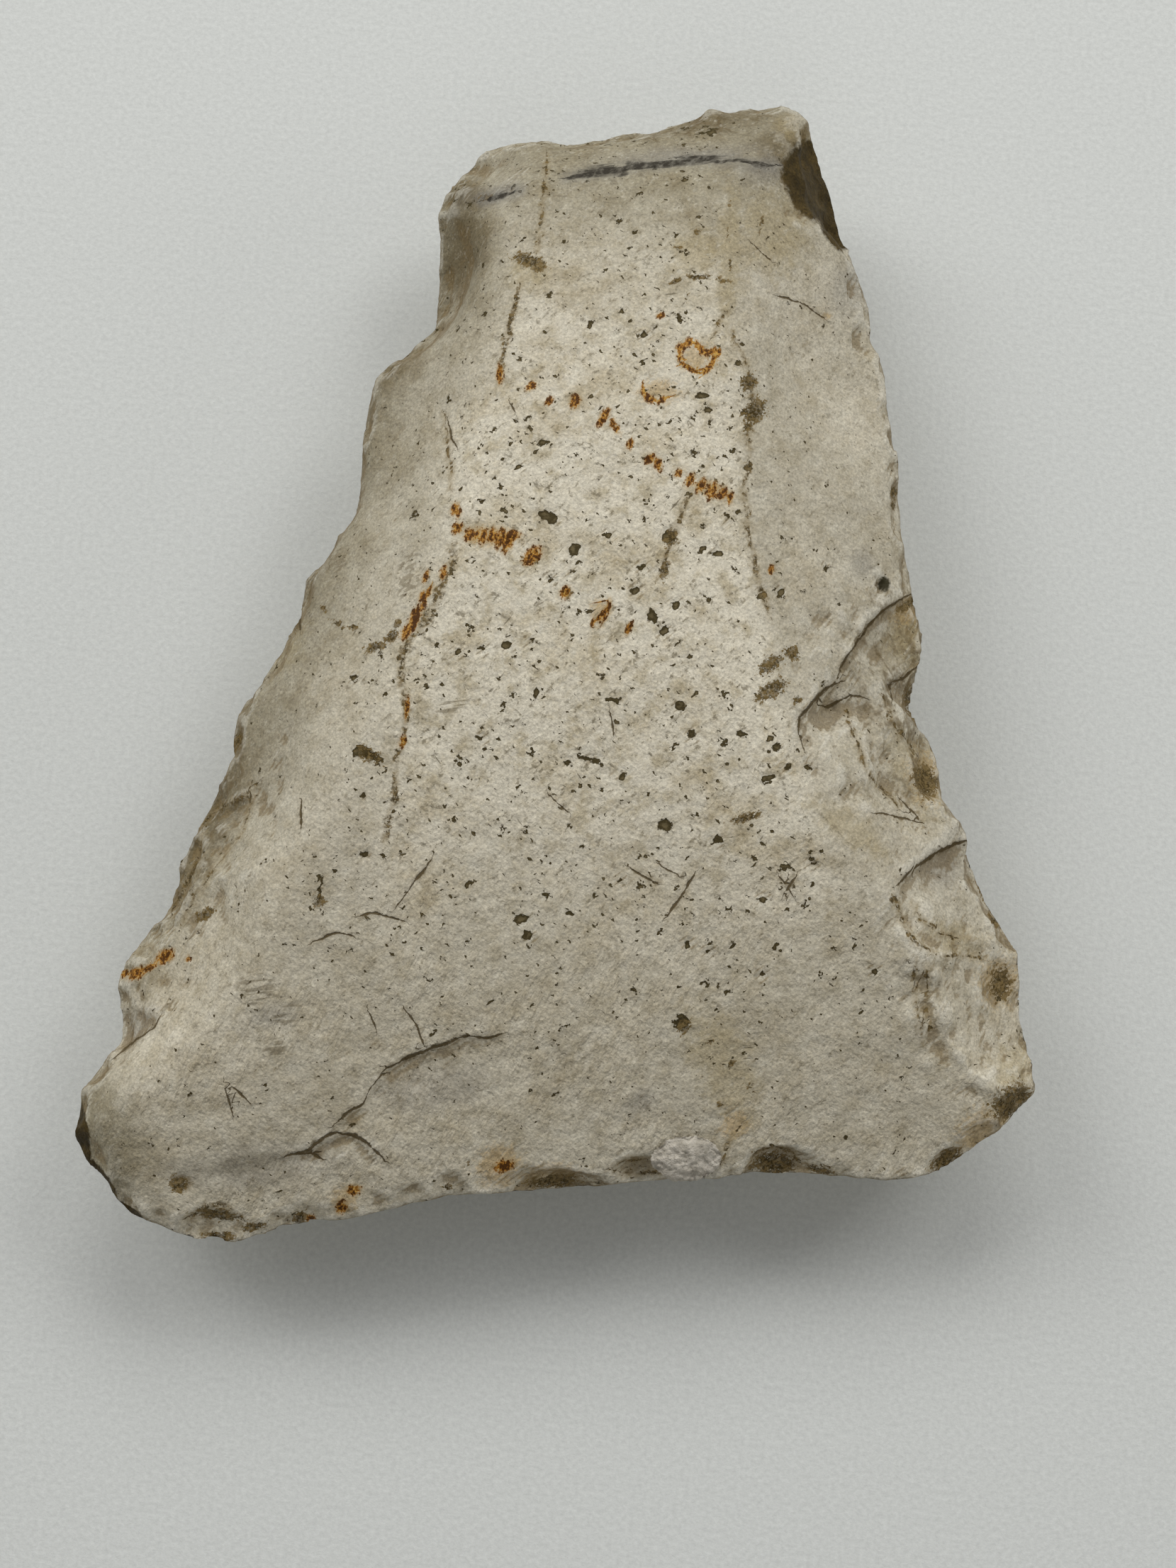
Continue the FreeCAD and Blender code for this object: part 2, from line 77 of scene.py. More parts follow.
def write_attribute(mesh, name, values):
    attribute = mesh.attributes.new(name, "FLOAT", "POINT")
    attribute.data.foreach_set("value", np.asarray(values, np.float32))


# From 0 at the low value to 1 at the high one, with soft ends
def rise(values, low, high):
    share = np.clip((values - low) / (high - low), 0, 1)
    return share * share * (3 - 2 * share)


# Smooth noise at points, for features of a size, from about -0.5 to 0.5
def waves(points, size, seed, octaves=3):
    shift = Vector((17.3 * seed, -9.1 * seed, 5.7 * seed))
    return np.array([
        noise.fractal(Vector(point) / size + shift, 0.6, 2.0, octaves) for point in points
    ]) * 0.6


def placed(name, data):
    thing = bpy.data.objects.new(name, data)
    bpy.context.scene.collection.objects.link(thing)
    return thing


# A new piece with the form of a solid of the frame, in even squares
def remeshed_copy(node, name, voxel):
    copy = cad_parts[node].data.copy()
    welded = bmesh.new()
    welded.from_mesh(copy)
    bmesh.ops.remove_doubles(welded, verts=welded.verts, dist=0.001 * MM)
    welded.to_mesh(copy)
    welded.free()
    piece = placed(name, copy)
    remesh = piece.modifiers.new("even_squares", "REMESH")
    remesh.mode = "VOXEL"
    remesh.voxel_size = voxel * MM
    view = bpy.context.evaluated_depsgraph_get()
    even = bpy.data.meshes.new_from_object(piece.evaluated_get(view))
    piece.modifiers.clear()
    piece.data = even
    bpy.data.meshes.remove(copy)
    even.name = name
    even.materials.clear()
    even.shade_smooth()
    return piece


# How far points lie from the middle of an ellipse, where 1 is its border
def ellipse_distance(offset, reach, spread, bearing=0):
    turn = math.radians(bearing)
    u = offset[:, 0] * math.cos(turn) + offset[:, 1] * math.sin(turn)
    v = offset[:, 1] * math.cos(turn) - offset[:, 0] * math.sin(turn)
    return np.hypot(u / reach, v / spread)


# The distance of each place of the plan from a line through corners, the side that it lies on, +1
# on the left-hand side, and the share of the line's length that is behind the nearest point
def line_distance(plan, corners):
    best = np.full(len(plan), 1e9)
    side = np.ones(len(plan))
    share = np.zeros(len(plan))
    steps = [math.dist(*pair) for pair in zip(corners, corners[1:])]
    behind = 0
    for start, end, step in zip(corners, corners[1:], steps):
        way = (np.array(end) - start) / step
        offset = plan - start
        ahead = np.clip(offset @ way, 0, step)
        distance = np.hypot(*(offset - ahead[:, None] * way).T)
        nearer = distance < best
        best = np.where(nearer, distance, best)
        left = way[0] * offset[:, 1] - way[1] * offset[:, 0] > 0
        side = np.where(nearer, np.where(left, 1.0, -1.0), side)
        share = np.where(nearer, (behind + ahead) / sum(steps), share)
        behind += step
    return best, side, share


class Surface:
    """The points of a mesh, with what the sculpting needs to know of them."""

    def __init__(self, mesh):
        self.mesh = mesh
        self.points = read(mesh.vertices, "co", 3) / MM
        self.edges = read(mesh.edges, "vertices", 2, int)
        self.neighbours = np.bincount(self.edges.ravel(), minlength=len(self.points))
        self.see()

    # The mean of each point's neighbours
    def around(self, values):
        first, second = self.edges.T
        count = len(self.points)
        columns = [
            np.bincount(first, column[second], count) + np.bincount(second, column[first], count)
            for column in np.atleast_2d(values.T)
        ]
        return np.squeeze(np.stack(columns, -1) / self.neighbours[:, None])

    def smooth(self, weight, rounds):
        for _ in range(rounds):
            self.points += weight[:, None] * (self.around(self.points) - self.points)

    def settle(self):
        self.mesh.vertices.foreach_set("co", (self.points * MM).ravel())
        self.mesh.update()
        self.see()

    # Where each point is seen on the reading level, and whether it is on the upper side
    def see(self):
        self.normals = read(self.mesh.vertices, "normal", 3)
        lift = (self.points[:, 2] - reading_level) / (camera_place[2] - self.points[:, 2])
        self.seen = self.points[:, :2] + (self.points[:, :2] - camera_place[:2]) * lift[:, None]
        self.upper = (self.normals[:, 2] > -0.25) & (self.points[:, 2] > rim_level - 1.5)

    # The point that shows at a place, and the mean normal within a millimetre of it
    def seat(self, x, y):
        away = np.hypot(self.seen[:, 0] - x, self.seen[:, 1] - y)
        away = np.where(self.upper, away, np.inf)
        nearest = int(np.argmin(away))
        near = away < max(1.0, away[nearest] + 0.1)
        normal = self.normals[near].mean(0)
        return self.points[nearest].copy(), normal / np.linalg.norm(normal)

    # Sinks the surface to a shell-shaped hollow, no deeper than the limit. Bearing is the way from
    # its far end to the rim that it was struck from, reach and spread are its half length and half
    # width, and a higher edge makes its border steeper. Ripples are (height, wavelength).
    def carve(self, place, normal, bearing, reach, spread, depth, edge, ripples=(0, 1), limit=1.0):
        turn = math.radians(bearing)
        along = np.array([math.cos(turn), math.sin(turn), 0])
        along -= normal * (along @ normal)
        along /= np.linalg.norm(along)
        across = np.cross(normal, along)
        offset = self.points - place
        close = np.flatnonzero((offset**2).sum(1) < (1.6 * max(reach, spread)) ** 2)
        offset = offset[close]
        u, v = offset @ along, offset @ across
        out = np.sqrt((u / reach) ** 2 + (v / spread) ** 2)
        out = out + 0.35 * waves(self.points[close], min(reach, spread) * 0.9, 3, 2)
        floor = depth * (np.maximum(out, 0) ** edge - 1)
        height, wavelength = ripples
        if height:
            from_end = np.hypot(u - reach, v) * (1 + 0.15 * np.cos(v / spread * 2))
            crest = np.cos(2 * math.pi * from_end / wavelength)
            floor += height * crest * rise(1.2 - out, 0, 0.6)
        sink = np.clip(offset @ normal - floor, 0, limit)
        self.points[close] -= sink[:, None] * normal

    def carve_seen(self, x, y, *shape):
        place, normal = self.seat(x, y)
        self.carve(place, normal, *shape)

    # The drift of each point to and fro, which makes straight lines ragged
    def shake_lines(self, amount, size):
        self.drift = amount * np.stack([waves(self.points, size, seed) for seed in (21, 22)], -1)

    # Lowers the surface on the left-hand side of a line, most beside the line and nothing past the
    # run, so that the line becomes a step with a ragged edge
    def step_down(self, depth, run, corners):
        distance, side, share = line_distance(self.seen + self.drift, corners)
        taper = np.sqrt(np.clip(np.sin(math.pi * np.clip(share, 0.02, 0.98)), 0, 1))
        drop = depth * taper * rise(distance, 0, 0.45) * (1 - rise(distance, run * 0.3, run))
        drop *= (side > 0) & self.upper
        self.points -= self.normals * drop[:, None]


# Flake scars that show on the upper face, each with the place of its middle as it is seen, the
# bearing of its struck end, half length, half width, depth, edge and ripples
flake_scars = [
    # corners of the butt
    (-11.6, 38.6, 130, 2, 1.5, 0.4, 3),
    (16, 38.6, 20, 3, 4.6, 0.5, 3),
    # hollows of the ripples and the rim on the right side
    (26, -7.4, 8, 1.6, 2, 0.4, 3),
    (25.2, -1.6, 15, 1.5, 1.6, 0.4, 3),
    (31.4, -16.6, 28, 4.6, 3.2, 0.3, 4, (0.02, 2)),
    (31.6, -23.6, 2, 5.6, 4.4, 0.35, 4, (0.035, 1.5)),
    (32.6, -22.4, 0, 1.7, 1.9, 0.4, 3),
    (33.8, -31.8, -30, 2.6, 2, 0.4, 3),
    # cutting edge, left of the middle
    (-15, -41, -95, 3.4, 3.4, 0.2, 4),
    # left side
    (-32.6, -29.8, 170, 2.6, 1.8, 0.25, 4),
    (-27.4, -13.6, 165, 2, 1.4, 0.3, 3),
    (-26.2, -16.4, 165, 1.8, 2, 0.2, 3),
    (-29.2, -19.6, 165, 1.1, 2.4, 0.35, 3),
    (-27.4, -20.6, 165, 1.6, 2.4, 0.2, 3),
    (-26.2, -3, 160, 3, 3.2, 0.2, 3),
    (-21, 14.6, 160, 3.6, 4, 0.2, 3, (0.01, 1.6)),
    # small round hollow by the left end of the cutting edge, and chips of the edge
    (-27.2, -41.6, -90, 1, 1, 0.2, 2),
    (-24, -44.2, -90, 1.4, 2.6, 0.3, 3),
    (0, -39.6, -85, 1.3, 2.4, 0.35, 3),
    (16.4, -36.9, -85, 1.5, 2, 0.45, 3),
    (28.9, -35.8, -60, 1.3, 1.7, 0.4, 3),
    (-18.6, -43.4, -85, 1, 1.2, 0.25, 3),
    (5.6, -38, -85, 0.8, 1.2, 0.2, 3),
]

# Steps at the ends of flakes: depth, run, and a line with the lower ground on its left-hand side
steps = [
    # right side, from the flake by the hole down to the end of the cutting edge
    (0.8, 5, [(25, 7.3), (23.4, 6.5), (22.1, 5.4), (21, 4.2), (20.3, 2.7), (19.4, 1.2), (19, -0.6)]),
    (0.7, 3.4, [(19.3, -0.2), (18.1, -0.9), (17.2, -2), (16.4, -3.3), (16.2, -4.8), (16.9, -6.2)]),
    (0.5, 2.2, [(21.3, -1.5), (19.9, -1.3), (19.3, -1.7), (18.2, -2.4), (17.4, -2.2)]),
    (0.65, 2.4, [(25.4, 1.6), (23.8, 0.3), (22.7, -0.1), (23.1, -1.4), (24.2, -2.3), (25.5, -3.7),
        (26.9, -5)]),
    (0.4, 2.6, [(20.6, -1.8), (21.3, -5.2), (22.8, -8.4), (25.6, -10.7)]),
    (0.2, 1.4, [(18.4, -3.2), (18.9, -6), (20.4, -8.6), (22.4, -10.4)]),
    (0.7, 3.6, [(29.6, -11.8), (28.1, -12.3), (26.8, -13.2), (25.3, -14.4), (24.6, -15.4),
        (24.1, -17)]),
    (0.36, 2.6, [(24.1, -16.4), (24.6, -18.4), (25.8, -19.8), (27.8, -20.6), (30.2, -20.8)]),
    (0.42, 2.8, [(26.3, -20.6), (26, -22.6), (26.2, -25), (27, -27.4), (28.6, -29.6)]),
    (0.16, 0.8, [(26.9, -21.4), (26.8, -24), (27.3, -26.6)]),
    (0.16, 0.8, [(27.9, -21.6), (27.8, -24), (28.4, -26.4)]),
    # cutting edge
    (0.35, 1.3, [(18, -37), (17.3, -35.9), (16.3, -35.6), (15.1, -36.1), (14.5, -37.3)]),
    (0.3, 1.2, [(30.6, -34.6), (28.8, -35), (27.7, -36.4)]),
    (0.34, 1.6, [(-12.3, -38.8), (-13.5, -37.7), (-14.6, -37.2), (-16, -37.1), (-17.6, -38.2),
        (-19.6, -38.9)]),
    (0.15, 1.8, [(-14.2, -34.7), (-15.1, -35.3), (-16.4, -36.8)]),
    (0.34, 4, [(-4.4, -28.9), (-6.7, -29.2), (-8.1, -29.7), (-9.9, -30.5), (-11.4, -31.3),
        (-12.9, -32.3), (-14.2, -34.4)]),
    # left side, from the blade up to the notch
    (0.3, 2, [(-32.9, -32.8), (-31.2, -31.1), (-29.9, -29.5), (-31.6, -28.9), (-33.4, -28.9)]),
    (0.4, 1.6, [(-29.9, -22), (-29, -19.6), (-28.4, -18.3), (-28.1, -17), (-28.4, -15.6)]),
    (0.4, 3, [(-24, -10.8), (-25.1, -12.2), (-26.4, -13.1), (-27.3, -13.5), (-28.1, -14.8)]),
    (0.35, 0.9, [(-26.7, -10.2), (-25.7, -8.8), (-26, -7.7)]),
    (0.3, 0.8, [(-22.3, 0.5), (-22.4, 3.2)]),
    # left corner of the butt
    (0.25, 1.5, [(-8.6, 38.9), (-9.6, 38.2), (-10, 37), (-11.2, 36.8)]),
]

# Where flakes keep their sharp ridges, as ellipses on the upper face
sharp_spots = [
    (24, -2, 11, 8, -72), (29.5, -20, 13, 6, -75), (16, 39, 6, 4, -65), (-28, -18, 13, 4, 68),
]

# Where small facets lie side by side
rough_spots = [
    (24.5, -1, 9, 4.2, -72), (-28.4, -15, 8.5, 2.4, 68), (33.6, -31.4, 2.4, 2),
    (2, 43.6, 11, 1.6, 9),
]

# Marks of the surface, as they are seen: middle, half length, half width and bearing, if it isn't 0
rust_spots = [
    (-10, 9.1, 0.5, 0.3, 80), (-9.4, 9.1, 0.6, 0.25, 80), (-8.8, 9.1, 0.6, 0.3, 85),
    (-8.2, 9.2, 0.6, 0.25, 75), (-7.5, 9, 0.8, 0.35, 80), (-6.9, 8.8, 0.9, 0.35, 75),
    (-6.5, 9.3, 0.5, 0.3, 20), (-11.2, 11.1, 0.5, 0.32, 80), (-10.9, 9.6, 0.45, 0.4, 60),
    (-5, 7.8, 0.8, 0.5, 50), (-2.2, 5.1, 0.5, 0.4, 80), (-8.6, 22.2, 0.8, 0.25, 95),
    (-6.1, 21.4, 0.45, 0.3, 45), (-4.6, 20.3, 0.4, 0.25, 60), (-2.6, 20.4, 0.55, 0.4, 80),
    (-0.3, 19.3, 0.8, 0.3, 65), (0.5, 18.8, 0.5, 0.2, 110), (0.9, 18.3, 0.5, 0.2, 110),
    (1.9, 17.3, 0.5, 0.25, 80), (3.5, 16.2, 0.5, 0.25, 60), (4.2, 15.8, 0.6, 0.3, 110),
    (5.8, 15.2, 0.4, 0.25, 60), (6.7, 14.7, 0.55, 0.3, 70), (7.6, 14.3, 0.6, 0.3, 70),
    (8.5, 14, 0.7, 0.35, 75), (9.3, 13.8, 0.5, 0.3, 70), (9.9, 13.5, 0.5, 0.25, 90),
    (3.6, 27.9, 0.35, 0.22, 20), (1, 3.9, 0.9, 0.22, 75), (2.8, 2.6, 0.6, 0.2, 70),
    (0.2, 3, 0.5, 0.2, 60), (-30, -25, 0.7, 0.45, 30), (-31, -25.8, 0.6, 0.2, 20),
    (-32, -26.4, 0.7, 0.4, 30), (-32.9, -26.5, 0.3, 0.25, 60), (-14.4, -41.1, 0.5, 0.35, 10),
    (-15.2, -42.4, 0.45, 0.4, 60), (-13.6, -4.8, 0.9, 0.2, 95), (-13.7, -7.4, 0.5, 0.25, 90),
    (-28.3, -25, 0.25, 0.2), (-17.4, -43.4, 0.3, 0.3), (-11.7, 6, 0.5, 0.25, 80),
    (-13, 5.6, 0.5, 0.2, 75), (-13.6, 2.4, 0.9, 0.3, 68), (-14.1, 1.2, 0.7, 0.35, 60),
    (-13.2, 4, 0.5, 0.2, 75), (-10.9, 10.8, 0.3, 0.2, 80), (13.4, 8, 0.4, 0.2, 80),
    (-3.6, -38.6, 0.7, 0.4, 20),
]
# Pale orange stain that soaked in round some of the rust
orange_spots = [
    (-8.2, 9.1, 2.4, 0.9), (6.6, 24.6, 1.5, 1.2, 20), (3.9, 21.7, 1.7, 1.1), (8.4, 14.1, 1.8, 0.7, -15),
    (-3.9, -38.6, 1.7, 1.6, 20), (-0.2, -39, 2.4, 0.9, 10), (13.2, -34.4, 1.2, 1, 50),
    (0.6, 3.8, 0.9, 1), (32.2, -22.4, 1.6, 1.9), (-15, -41.8, 1, 1), (26, -7.4, 1.4, 2.2, 20),
    (24, 5.4, 1.4, 1, 30), (31.8, -33.6, 2.8, 1.8, 40), (16.6, 28.8, 0.5, 0.3),
]

# Dirt in hollows and along old ridges, as spots and as lines with their half width
dirt_spots = [
    (-7, 31.7, 1.4, 0.5, -12), (-6.4, 31.2, 0.6, 0.4), (10.8, 22.9, 0.8, 0.6, 60),
    (11.4, 20.6, 1.1, 0.8, 50), (10.9, 19.3, 0.4, 0.35, 40), (6.4, 31.3, 1.2, 0.25, 5),
    (4.6, 30.8, 0.6, 0.2, 20), (8.2, 31.2, 0.7, 0.2, -10), (13.8, 0.6, 1.2, 0.55, 40),
    (15.4, 1.6, 0.7, 0.5, -30), (14, -1.4, 1.4, 0.6, 35), (16, -2, 0.4, 0.3, 40),
    (12.6, -11.4, 1.3, 0.3, 20), (5.6, 9.9, 0.7, 0.5, 60), (5.3, 7.4, 0.3, 0.9, -10),
    (16.3, -37, 1.6, 0.9), (19.7, -37.2, 1.2, 0.25, -10), (28.9, -35.8, 1.3, 0.6, 35),
    (33.4, -31.2, 1.7, 1, 45), (32.3, -22.5, 0.8, 1.2), (0.2, -39.4, 1.7, 0.5, 10),
    (-24.2, -43.6, 1.6, 0.4, -5), (-21.6, -44.3, 0.9, 0.3, 20), (-24, -45.2, 1.2, 0.4, 5),
    (-27.3, -41.6, 0.7, 0.6), (-18.2, -43.4, 0.6, 0.45, 60), (-26.2, -8.4, 0.3, 0.8, -20),
    (-27.3, -21.6, 0.8, 0.4, 35), (-16.2, -8.6, 1, 0.5, -25), (26, -7.6, 0.9, 1.3, 20),
    (25, -1.8, 0.8, 1.4, 25), (24.2, 6.2, 1.3, 0.35, 40), (-19, -20, 0.5, 0.5), (-22.6, 1.6, 0.25, 1.1),
    (22.5, 14.9, 0.3, 0.45), (22.5, 13.8, 0.2, 0.4), (-7.6, -40.4, 0.4, 0.25), (21.4, 30, 0.2, 0.8, 10),
    (-6.2, -38.6, 0.2, 0.15), (9, -27.4, 0.6, 0.5, 60), (30.6, -15.4, 0.3, 1, 20),
    (31.6, -17.8, 0.25, 0.7, 30), (-10.8, 36.7, 0.7, 0.25, 10), (-20.6, 2.5, 0.5, 0.2, -40),
    (-19.4, 1.4, 0.6, 0.25, -20), (-18.2, 1.2, 0.4, 0.25), (-16.4, -0.2, 0.7, 0.4, 20),
    (-15.2, 0.7, 0.6, 0.4, 40), (-14.9, 1.7, 0.4, 0.3, 60), (-20.4, 0, 0.2, 0.15),
    (4.6, 33.6, 0.3, 0.15), (5.6, 29.6, 0.2, 0.5), (8.3, 37.4, 0.14, 0.6), (8.5, 35, 0.14, 0.8),
    (8.8, 32.6, 0.16, 0.5), (11, 36, 0.12, 1, -8), (6, 35, 0.35, 0.25), (12.6, -30, 0.5, 0.2, 60),
    (11, -28.4, 0.3, 0.2, 20), (14.2, -31.6, 0.5, 0.15, -40), (12, -33, 0.3, 0.2),
]
dirt_lines = [
    # along the left ridge
    (0.16, [(-6.3, 40.6), (-6.3, 38), (-6.3, 35), (-6.5, 32.4)]),
    (0.24, [(-7.5, 30.2), (-7.9, 27.6), (-8.3, 25), (-8.7, 22.2)]),
    (0.1, [(-12.7, 18.7), (-12.2, 16.4), (-11.9, 14.6), (-11.6, 12.4)]),
    (0.5, [(-10.8, 8.9), (-11.2, 7.2), (-11.7, 5.4), (-12.2, 3.4), (-12.6, 2), (-13.8, 0.8),
        (-14.3, -0.8)]),
    (0.28, [(-14.3, -0.8), (-14, -3.1), (-13.5, -5), (-13.7, -7.2), (-14.2, -9.2)]),
    (0.44, [(-14.1, -9.6), (-13.9, -11.2), (-14.2, -13), (-14.4, -15)]),
    # along the right ridge
    (0.2, [(8.6, 28.6), (8.2, 27.4), (7.8, 26.4)]),
    (0.18, [(9.2, 27), (9.8, 25.6), (10.4, 24.4)]),
    (0.22, [(10.6, 23.8), (11.2, 21.4), (11.1, 19), (11.1, 16), (10.7, 14.2)]),
    (0.18, [(11, 14), (11.3, 11.6), (12.2, 8.4), (12.9, 6.2), (13.6, 4.2)]),
    # by the dark pit of the ground face
    (0.16, [(7, 13.4), (6.2, 11.8), (5.7, 10), (5.3, 8.4), (4.6, 6.6)]),
    # on the left side
    (0.26, [(-24.2, -11.2), (-25.2, -12.4), (-26.4, -13.2), (-27.4, -13.7), (-28.1, -14.9)]),
    (0.2, [(-28.2, -15.6), (-28.2, -17), (-28.5, -18.4), (-29.1, -19.9), (-29.9, -21.6)]),
    (0.12, [(-24.7, -11.6), (-24.8, -13.8), (-25.4, -15.6), (-26.4, -17.4)]),
    (0.1, [(-26.8, -17.6), (-28, -20), (-29, -22.4)]),
    (0.12, [(-31.2, -24.4), (-32.2, -25)]),
    # on the right side
    (0.12, [(24.1, -16.6), (24.6, -18.4), (25.9, -19.9), (28.4, -20.8), (31, -20.7)]),
    (0.08, [(25.4, -16.8), (26.2, -18.2), (28, -19.2), (30.2, -19.4)]),
    (0.16, [(26.1, -21), (25.9, -23.2), (26.2, -25.4), (26.9, -27.6)]),
    (0.1, [(27, -21.4), (26.8, -24), (27.3, -26.6)]),
    (0.14, [(19.6, -2.2), (20.4, -4.8), (21.8, -7.6), (24.2, -9.8)]),
    (0.16, [(22.6, -1.2), (23.4, -3.4), (25, -5.6)]),
    # cutting edge
    (0.26, [(-26.4, -44), (-25.2, -43.2), (-23.8, -43), (-22.4, -43.7)]),
    (0.22, [(-1.6, -39.7), (-0.4, -39.1), (1.6, -39.2)]),
    (0.12, [(14.4, -37.2), (15.1, -36.1), (16.3, -35.6), (17.4, -35.9), (18.1, -37)]),
    (0.1, [(13.8, -34.2), (12.8, -35.4), (12.3, -37.4)]),
    (0.12, [(4.8, -37.9), (5.6, -37.4), (6.7, -37.4)]),
    (0.14, [(4.2, -38.2), (5.8, -38.5), (8, -38.3)]),
    (0.16, [(18.6, -36.9), (20.4, -37.2), (21.2, -37.6)]),
]
rust_lines = [
    (0.3, [(-12.6, 4.9), (-13.1, 3.2), (-13.7, 1.2)]),
    (0.42, [(5.3, 24.2), (5.2, 25.3), (6.1, 26), (7.2, 25.1), (8.1, 25.3), (7.9, 24.2), (7.1, 23.3)]),
    (0.26, [(5.3, 24.2), (6, 23.8), (7.1, 23.3)]),
    (0.32, [(2.6, 22.1), (2.9, 21.2), (3.9, 20.8), (4.8, 21.4)]),
    (0.07, [(0, 4.4), (1.2, 4.7), (1.2, 3.4), (0.6, 2.6)]),
]
# The shadowed step of the butt's bevel, and grey stains
shadowed_step_lines = [
    (0.34, [(-3.8, 39), (-2.2, 39.4), (-0.4, 39.8), (1.6, 40.3)]),
    (0.3, [(2.8, 40.6), (4.6, 40.9), (6.4, 41.1), (8, 41.1)]),
    (0.18, [(-4.6, 38.8), (0, 39.9), (4, 40.8), (8, 41.2), (11.6, 41)]),
    (0.14, [(-10.9, 36.4), (-9.8, 36.8), (-8.4, 37.5)]),
]
grey_spots = [
    (-21.2, -39.8, 6.2, 1.6, 8), (6.1, -33.1, 1.3, 0.9, 20), (-9, -33.2, 4.6, 1.8, 12),
    (-21.6, -28.8, 2.2, 0.9, 12), (4, 41.3, 7, 0.9, 8), (11, 40.4, 2.6, 1.2), (-10.2, 37, 2.4, 0.9, 15),
    (27.6, -14.4, 1.6, 1.6, 40), (-31.4, -30.2, 1.6, 1.2, 40), (18.4, 31.6, 1.8, 2.8, -20),
    (20.4, 9, 1.2, 1.2),
]
# Flint without its patina: the broken corner of the butt and the rim by the blade's left corner
fresh_spots = [
    (15.1, 39.8, 3.8, 2.5, 118), (16.9, 36.4, 2.4, 1.3, 118), (14.6, 42, 1.4, 1.1, 90),
    (-34.9, -38.6, 3.4, 0.7, 105), (-33.2, -41.8, 2.4, 0.8, 130), (-30.8, -43.9, 1.6, 0.5, 150),
]
# Where the patina is darker, weakly and strongly
dull_spots = [
    (2, 46, 22, 13, 8), (-23.5, 9, 34, 6.6, 72), (-29.4, -14, 20, 4.8, 66), (-13, 33, 9, 4.5, 85),
    (-34.5, -38, 7, 4, 120), (-22.4, -39.7, 3.2, 0.7, 13),
]
dark_spots = [
    (-29, -14.6, 8, 2.6, 68), (-17, 24, 6, 2.6, 60), (-23, 6, 5, 1.8, 62), (1.6, 44, 8, 1.4, 10),
    (12.6, 43, 2.6, 1.8, 40), (-12.2, 32.6, 4, 2, 80), (24.2, 4, 4, 1.8, 62), (-12.6, 36.6, 2, 1.6),
]
# Yellow stains
ochre_spots = [
    (11.8, 35.4, 2.6, 3.6), (8.6, 33.6, 0.9, 5.6), (24.4, 3, 1.6, 3.4, 15), (25.4, -7, 1.8, 3.4, 25),
    (-23.8, -0.6, 1.6, 2.4, -30), (33.4, -29.6, 1.4, 2.4, -10), (-7, 30.6, 1.4, 1.2),
    (13.4, 44.4, 1.8, 1), (20.4, -11.6, 3.4, 1.2, -30), (28.8, -19.4, 2.4, 1.2, -10),
    (12, -30, 2, 4.4, 30), (5.8, 33.2, 1.8, 1.8),
]
